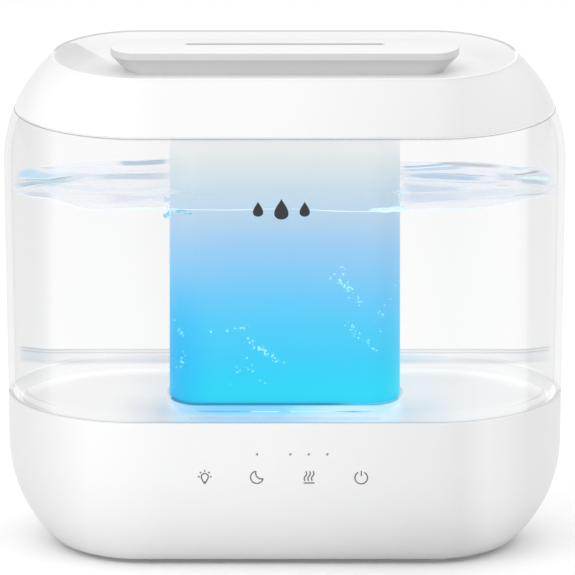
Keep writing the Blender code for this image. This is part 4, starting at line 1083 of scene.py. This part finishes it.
def on_panel(centre_x):
    """Maps a 2-D point of a key sign to the base's front face, lifted off it."""

    def to_surface(point, lift):
        x, z = centre_x + point[0], ICON_Z + point[1]
        return (x, case_front(z) - lift, z)

    return to_surface


def bulb_strokes():
    """A light bulb with rays."""
    glass = arc((0, 0.0002), 0.00155, -35, 215, 20)
    lines = [[(-0.00072, -0.0019), *glass[::-1], (0.00072, -0.0019)]]
    lines += [[(-0.00080, -0.0021), (0.00080, -0.0021)], [(-0.0005, -0.0027), (0.0005, -0.0027)]]
    for turn in map(math.radians, (0, 45, 90, 135, 180)):
        lines.append([(r * math.cos(turn), r * math.sin(turn) + 0.0003) for r in (0.0022, 0.0031)])
    return [(line, False) for line in lines]


def moon_strokes():
    """A crescent."""
    outer = arc((0, 0), 0.0028, 100, 350, 28)
    inner = arc((0.00215, 0.00195), 0.0027, 268, 182, 14)
    return [([*outer, *inner], True)]


def mist_strokes():
    """Three rising waves over a line."""
    strokes = []
    for x in (-0.0016, 0.0, 0.0016):
        rise = span(-0.0022, 0.0022, 14)
        strokes.append(([(x + 0.00042 * math.sin(v * 1500.0) + v * 0.12, v + 0.0006) for v in rise], False))
    strokes.append(([(-0.0024, -0.0026), (0.0024, -0.0026)], False))
    return strokes


def power_strokes():
    """A broken ring with an upright bar."""
    return [(arc((0, -0.0002), 0.0028, 118, 422, 32), False), ([(0, 0.0006), (0, 0.0030)], False)]


def key_print(material):
    """The four printed key signs on the base."""
    signs = {"light": bulb_strokes, "sleep": moon_strokes, "mist": mist_strokes, "power": power_strokes}
    for index, (name, sign) in enumerate(signs.items()):
        mesh = bmesh.new()
        for points, closed in sign():
            strip(mesh, points, on_panel(icon_x(index)), closed)
        bmesh.ops.recalc_face_normals(mesh, faces=mesh.faces)
        placed(from_bmesh(f"key_print_{name}", mesh), "base", material)


def drop_print(material):
    """Three plain water drops printed on the front of the tank."""
    mesh = bmesh.new()
    for x, height in ((-0.0118, 0.0068), (-0.0015, 0.0094), (0.0088, 0.0068)):
        outline = []
        for i in range(DROP_STEPS):
            t = 2 * math.pi * i / DROP_STEPS
            wide = height * 0.48 * math.sin(t) * math.sin(t / 2) ** 1.5
            outline.append((x + wide, DROP_Z + height * 0.5 * math.cos(t)))
        front, back = (
            [mesh.verts.new((px, case_front(pz) - PRINT_LIFT - thick, pz)) for px, pz in outline]
            for thick in (PRINT_T, 0.0)
        )
        mesh.faces.new(front)
        mesh.faces.new(back[::-1])
        for i in range(len(front)):
            mesh.faces.new((front[i], front[i - 1], back[i - 1], back[i]))
    bmesh.ops.recalc_face_normals(mesh, faces=mesh.faces)
    return placed(from_bmesh("drop_print", mesh), "tank", material)


# ---- carried-over parts
def paint_carried_parts(paints):
    """Gives every CAD node that is still shown the material of its slot."""
    slots = {row["node"]: row["material_slot"] for row in frame["record"]["subparts"]}
    for name, obj in frame["nodes"].items():
        obj.data.materials.clear()
        obj.data.materials.append(paints.get(name, paints[slots[name]]))


# ---- studio
VIEW_DISTANCE, VIEW_WIDTH, VIEW_TARGET = 10.0, 0.2562, (0.0012, 0.0, 0.1139)
LAMP_SIZE, LAMP_AIM = 0.35, (0.0, 0.0, 0.11)
FLOOR_HALF = 9.0


def studio():
    """A plain pale floor, soft light from the front left, and a long lens at the photo's angle."""
    floor_mesh = bmesh.new()
    bmesh.ops.create_grid(floor_mesh, x_segments=1, y_segments=1, size=FLOOR_HALF)
    floor = from_bmesh("studio_floor", floor_mesh)
    look = Shader("studio_floor")
    pale = look.mix(look.noise(2.0), (0.960, 0.960, 0.960), (0.965, 0.965, 0.965))
    look.set(Base_Color=pale, Roughness=0.55, Emission_Color=WHITE)
    look.set(Emission_Strength=look.times(look.add("LightPath").outputs["Is Camera Ray"], 0.075))
    floor.data.materials.append(look.material)
    sky()
    lamp("key_light", (-0.26, -0.46, 0.36), 0.50)
    lamp("side_light", (-0.48, -0.36, 0.36), 0.15)
    lamp("back_light", (0.30, 0.35, 0.60), 0.14)

    back = Vector((0.0, -math.cos(VIEW_TILT), math.sin(VIEW_TILT)))
    data = bpy.data.cameras.new("camera")
    data.lens = data.sensor_width * VIEW_DISTANCE / VIEW_WIDTH
    data.clip_end = 80.0
    bpy.context.scene.camera = aimed("camera", data, Vector(VIEW_TARGET) + back * VIEW_DISTANCE, -back)
    bpy.context.scene.view_settings.view_transform = "Standard"


def sky():
    """White light, stronger from above than from the sides, and plain white below the floor's level."""
    world = bpy.data.worlds.new("studio_world")
    bpy.context.scene.world = world
    world.use_nodes = True
    nodes, join = world.node_tree.nodes, world.node_tree.links.new
    kinds = ("TexCoord", "SeparateXYZ", "MapRange", "Math", "Math")
    place, parts, slope, below, strength = (nodes.new("ShaderNode" + kind) for kind in kinds)
    slope.inputs["To Min"].default_value, slope.inputs["To Max"].default_value = 0.61, 1.19
    below.operation, below.inputs[1].default_value = "LESS_THAN", 0.0
    strength.operation = "MAXIMUM"
    join(place.outputs["Generated"], parts.inputs[0])
    join(parts.outputs["Z"], slope.inputs["Value"])
    join(parts.outputs["Z"], below.inputs[0])
    join(slope.outputs["Result"], strength.inputs[0])
    join(below.outputs[0], strength.inputs[1])
    join(strength.outputs[0], nodes["Background"].inputs["Strength"])
    nodes["Background"].inputs["Color"].default_value = (*WHITE, 1.0)


def aimed(name, data, at, way):
    """A lamp or camera placed in the scene and turned to face along the given way."""
    obj = bpy.data.objects.new(name, data)
    obj.location = at
    obj.rotation_mode = "QUATERNION"
    obj.rotation_quaternion = way.to_track_quat("-Z", "Y")
    bpy.context.scene.collection.objects.link(obj)
    return obj


def lamp(name, at, power):
    """A soft round lamp, aimed at the middle of the object, and seen only by its light."""
    data = bpy.data.lights.new(name, "AREA")
    data.shape, data.size, data.energy = "DISK", LAMP_SIZE, power
    obj = aimed(name, data, at, Vector(LAMP_AIM) - Vector(at))
    obj.visible_camera = obj.visible_glossy = False


def main():
    studio()
    white = white_casing(0.84, 0.30)
    base_casing(white, rim_plastic((0.25, 0.25, 0.25), 0.4))
    tank_vessel(clear_plastic(outer=True), clear_plastic(outer=False))
    lid_cover(white, recess_plastic((0.84, 0.84, 0.84), 0.30))
    mist_bar(bar_plastic((0.93, 0.93, 0.93), (0.66, 0.66, 0.66), (0.63, 0.63, 0.63), 0.3))
    mist_chimney(duct_plastic())
    water(water_body(), water_surface())
    water_edge(water_line())
    bubbles(bubble_skin())
    splashes(splash_water())
    key_print(print_ink("printed_ink", 400.0, (92, 92, 94), (106, 106, 108), 0.45))
    drop_print(print_ink("dark_print", 300.0, (24, 28, 32), (40, 44, 50), 0.35))
    paint_carried_parts(
        {
            "white_plastic": white,
            "inner_plastic": moulded("inner_plastic", (0.82, 0.82, 0.825), 0.5),
            "reservoir_tray": glow_on_deck("lit_tray_plastic", (0.25, 0.25, 0.25), 0.4),
            "clear_plastic": moulded("lamp_guide_plastic", display(150, 150, 152), 0.2),
            "frosted_plastic": lit_lens(),
            "duct_seal": lit_silicone(),
            "silicone": moulded("grey_silicone", (0.45, 0.46, 0.47), 0.7, 0.00006, 500.0, 0.08),
            "black_plastic": moulded("black_plastic", (0.03, 0.03, 0.032), 0.45, tone=0.2),
            "magnet": metal("ferrite", (0.10, 0.10, 0.11), 0.5),
            "steel": metal("plain_steel", (0.68, 0.69, 0.70), 0.28),
            "aluminium": metal("cast_aluminium", (0.76, 0.77, 0.78), 0.4),
            "copper": metal("bare_copper", (0.80, 0.42, 0.24), 0.35),
            "circuit_board": circuit_board(),
        }
    )


main()
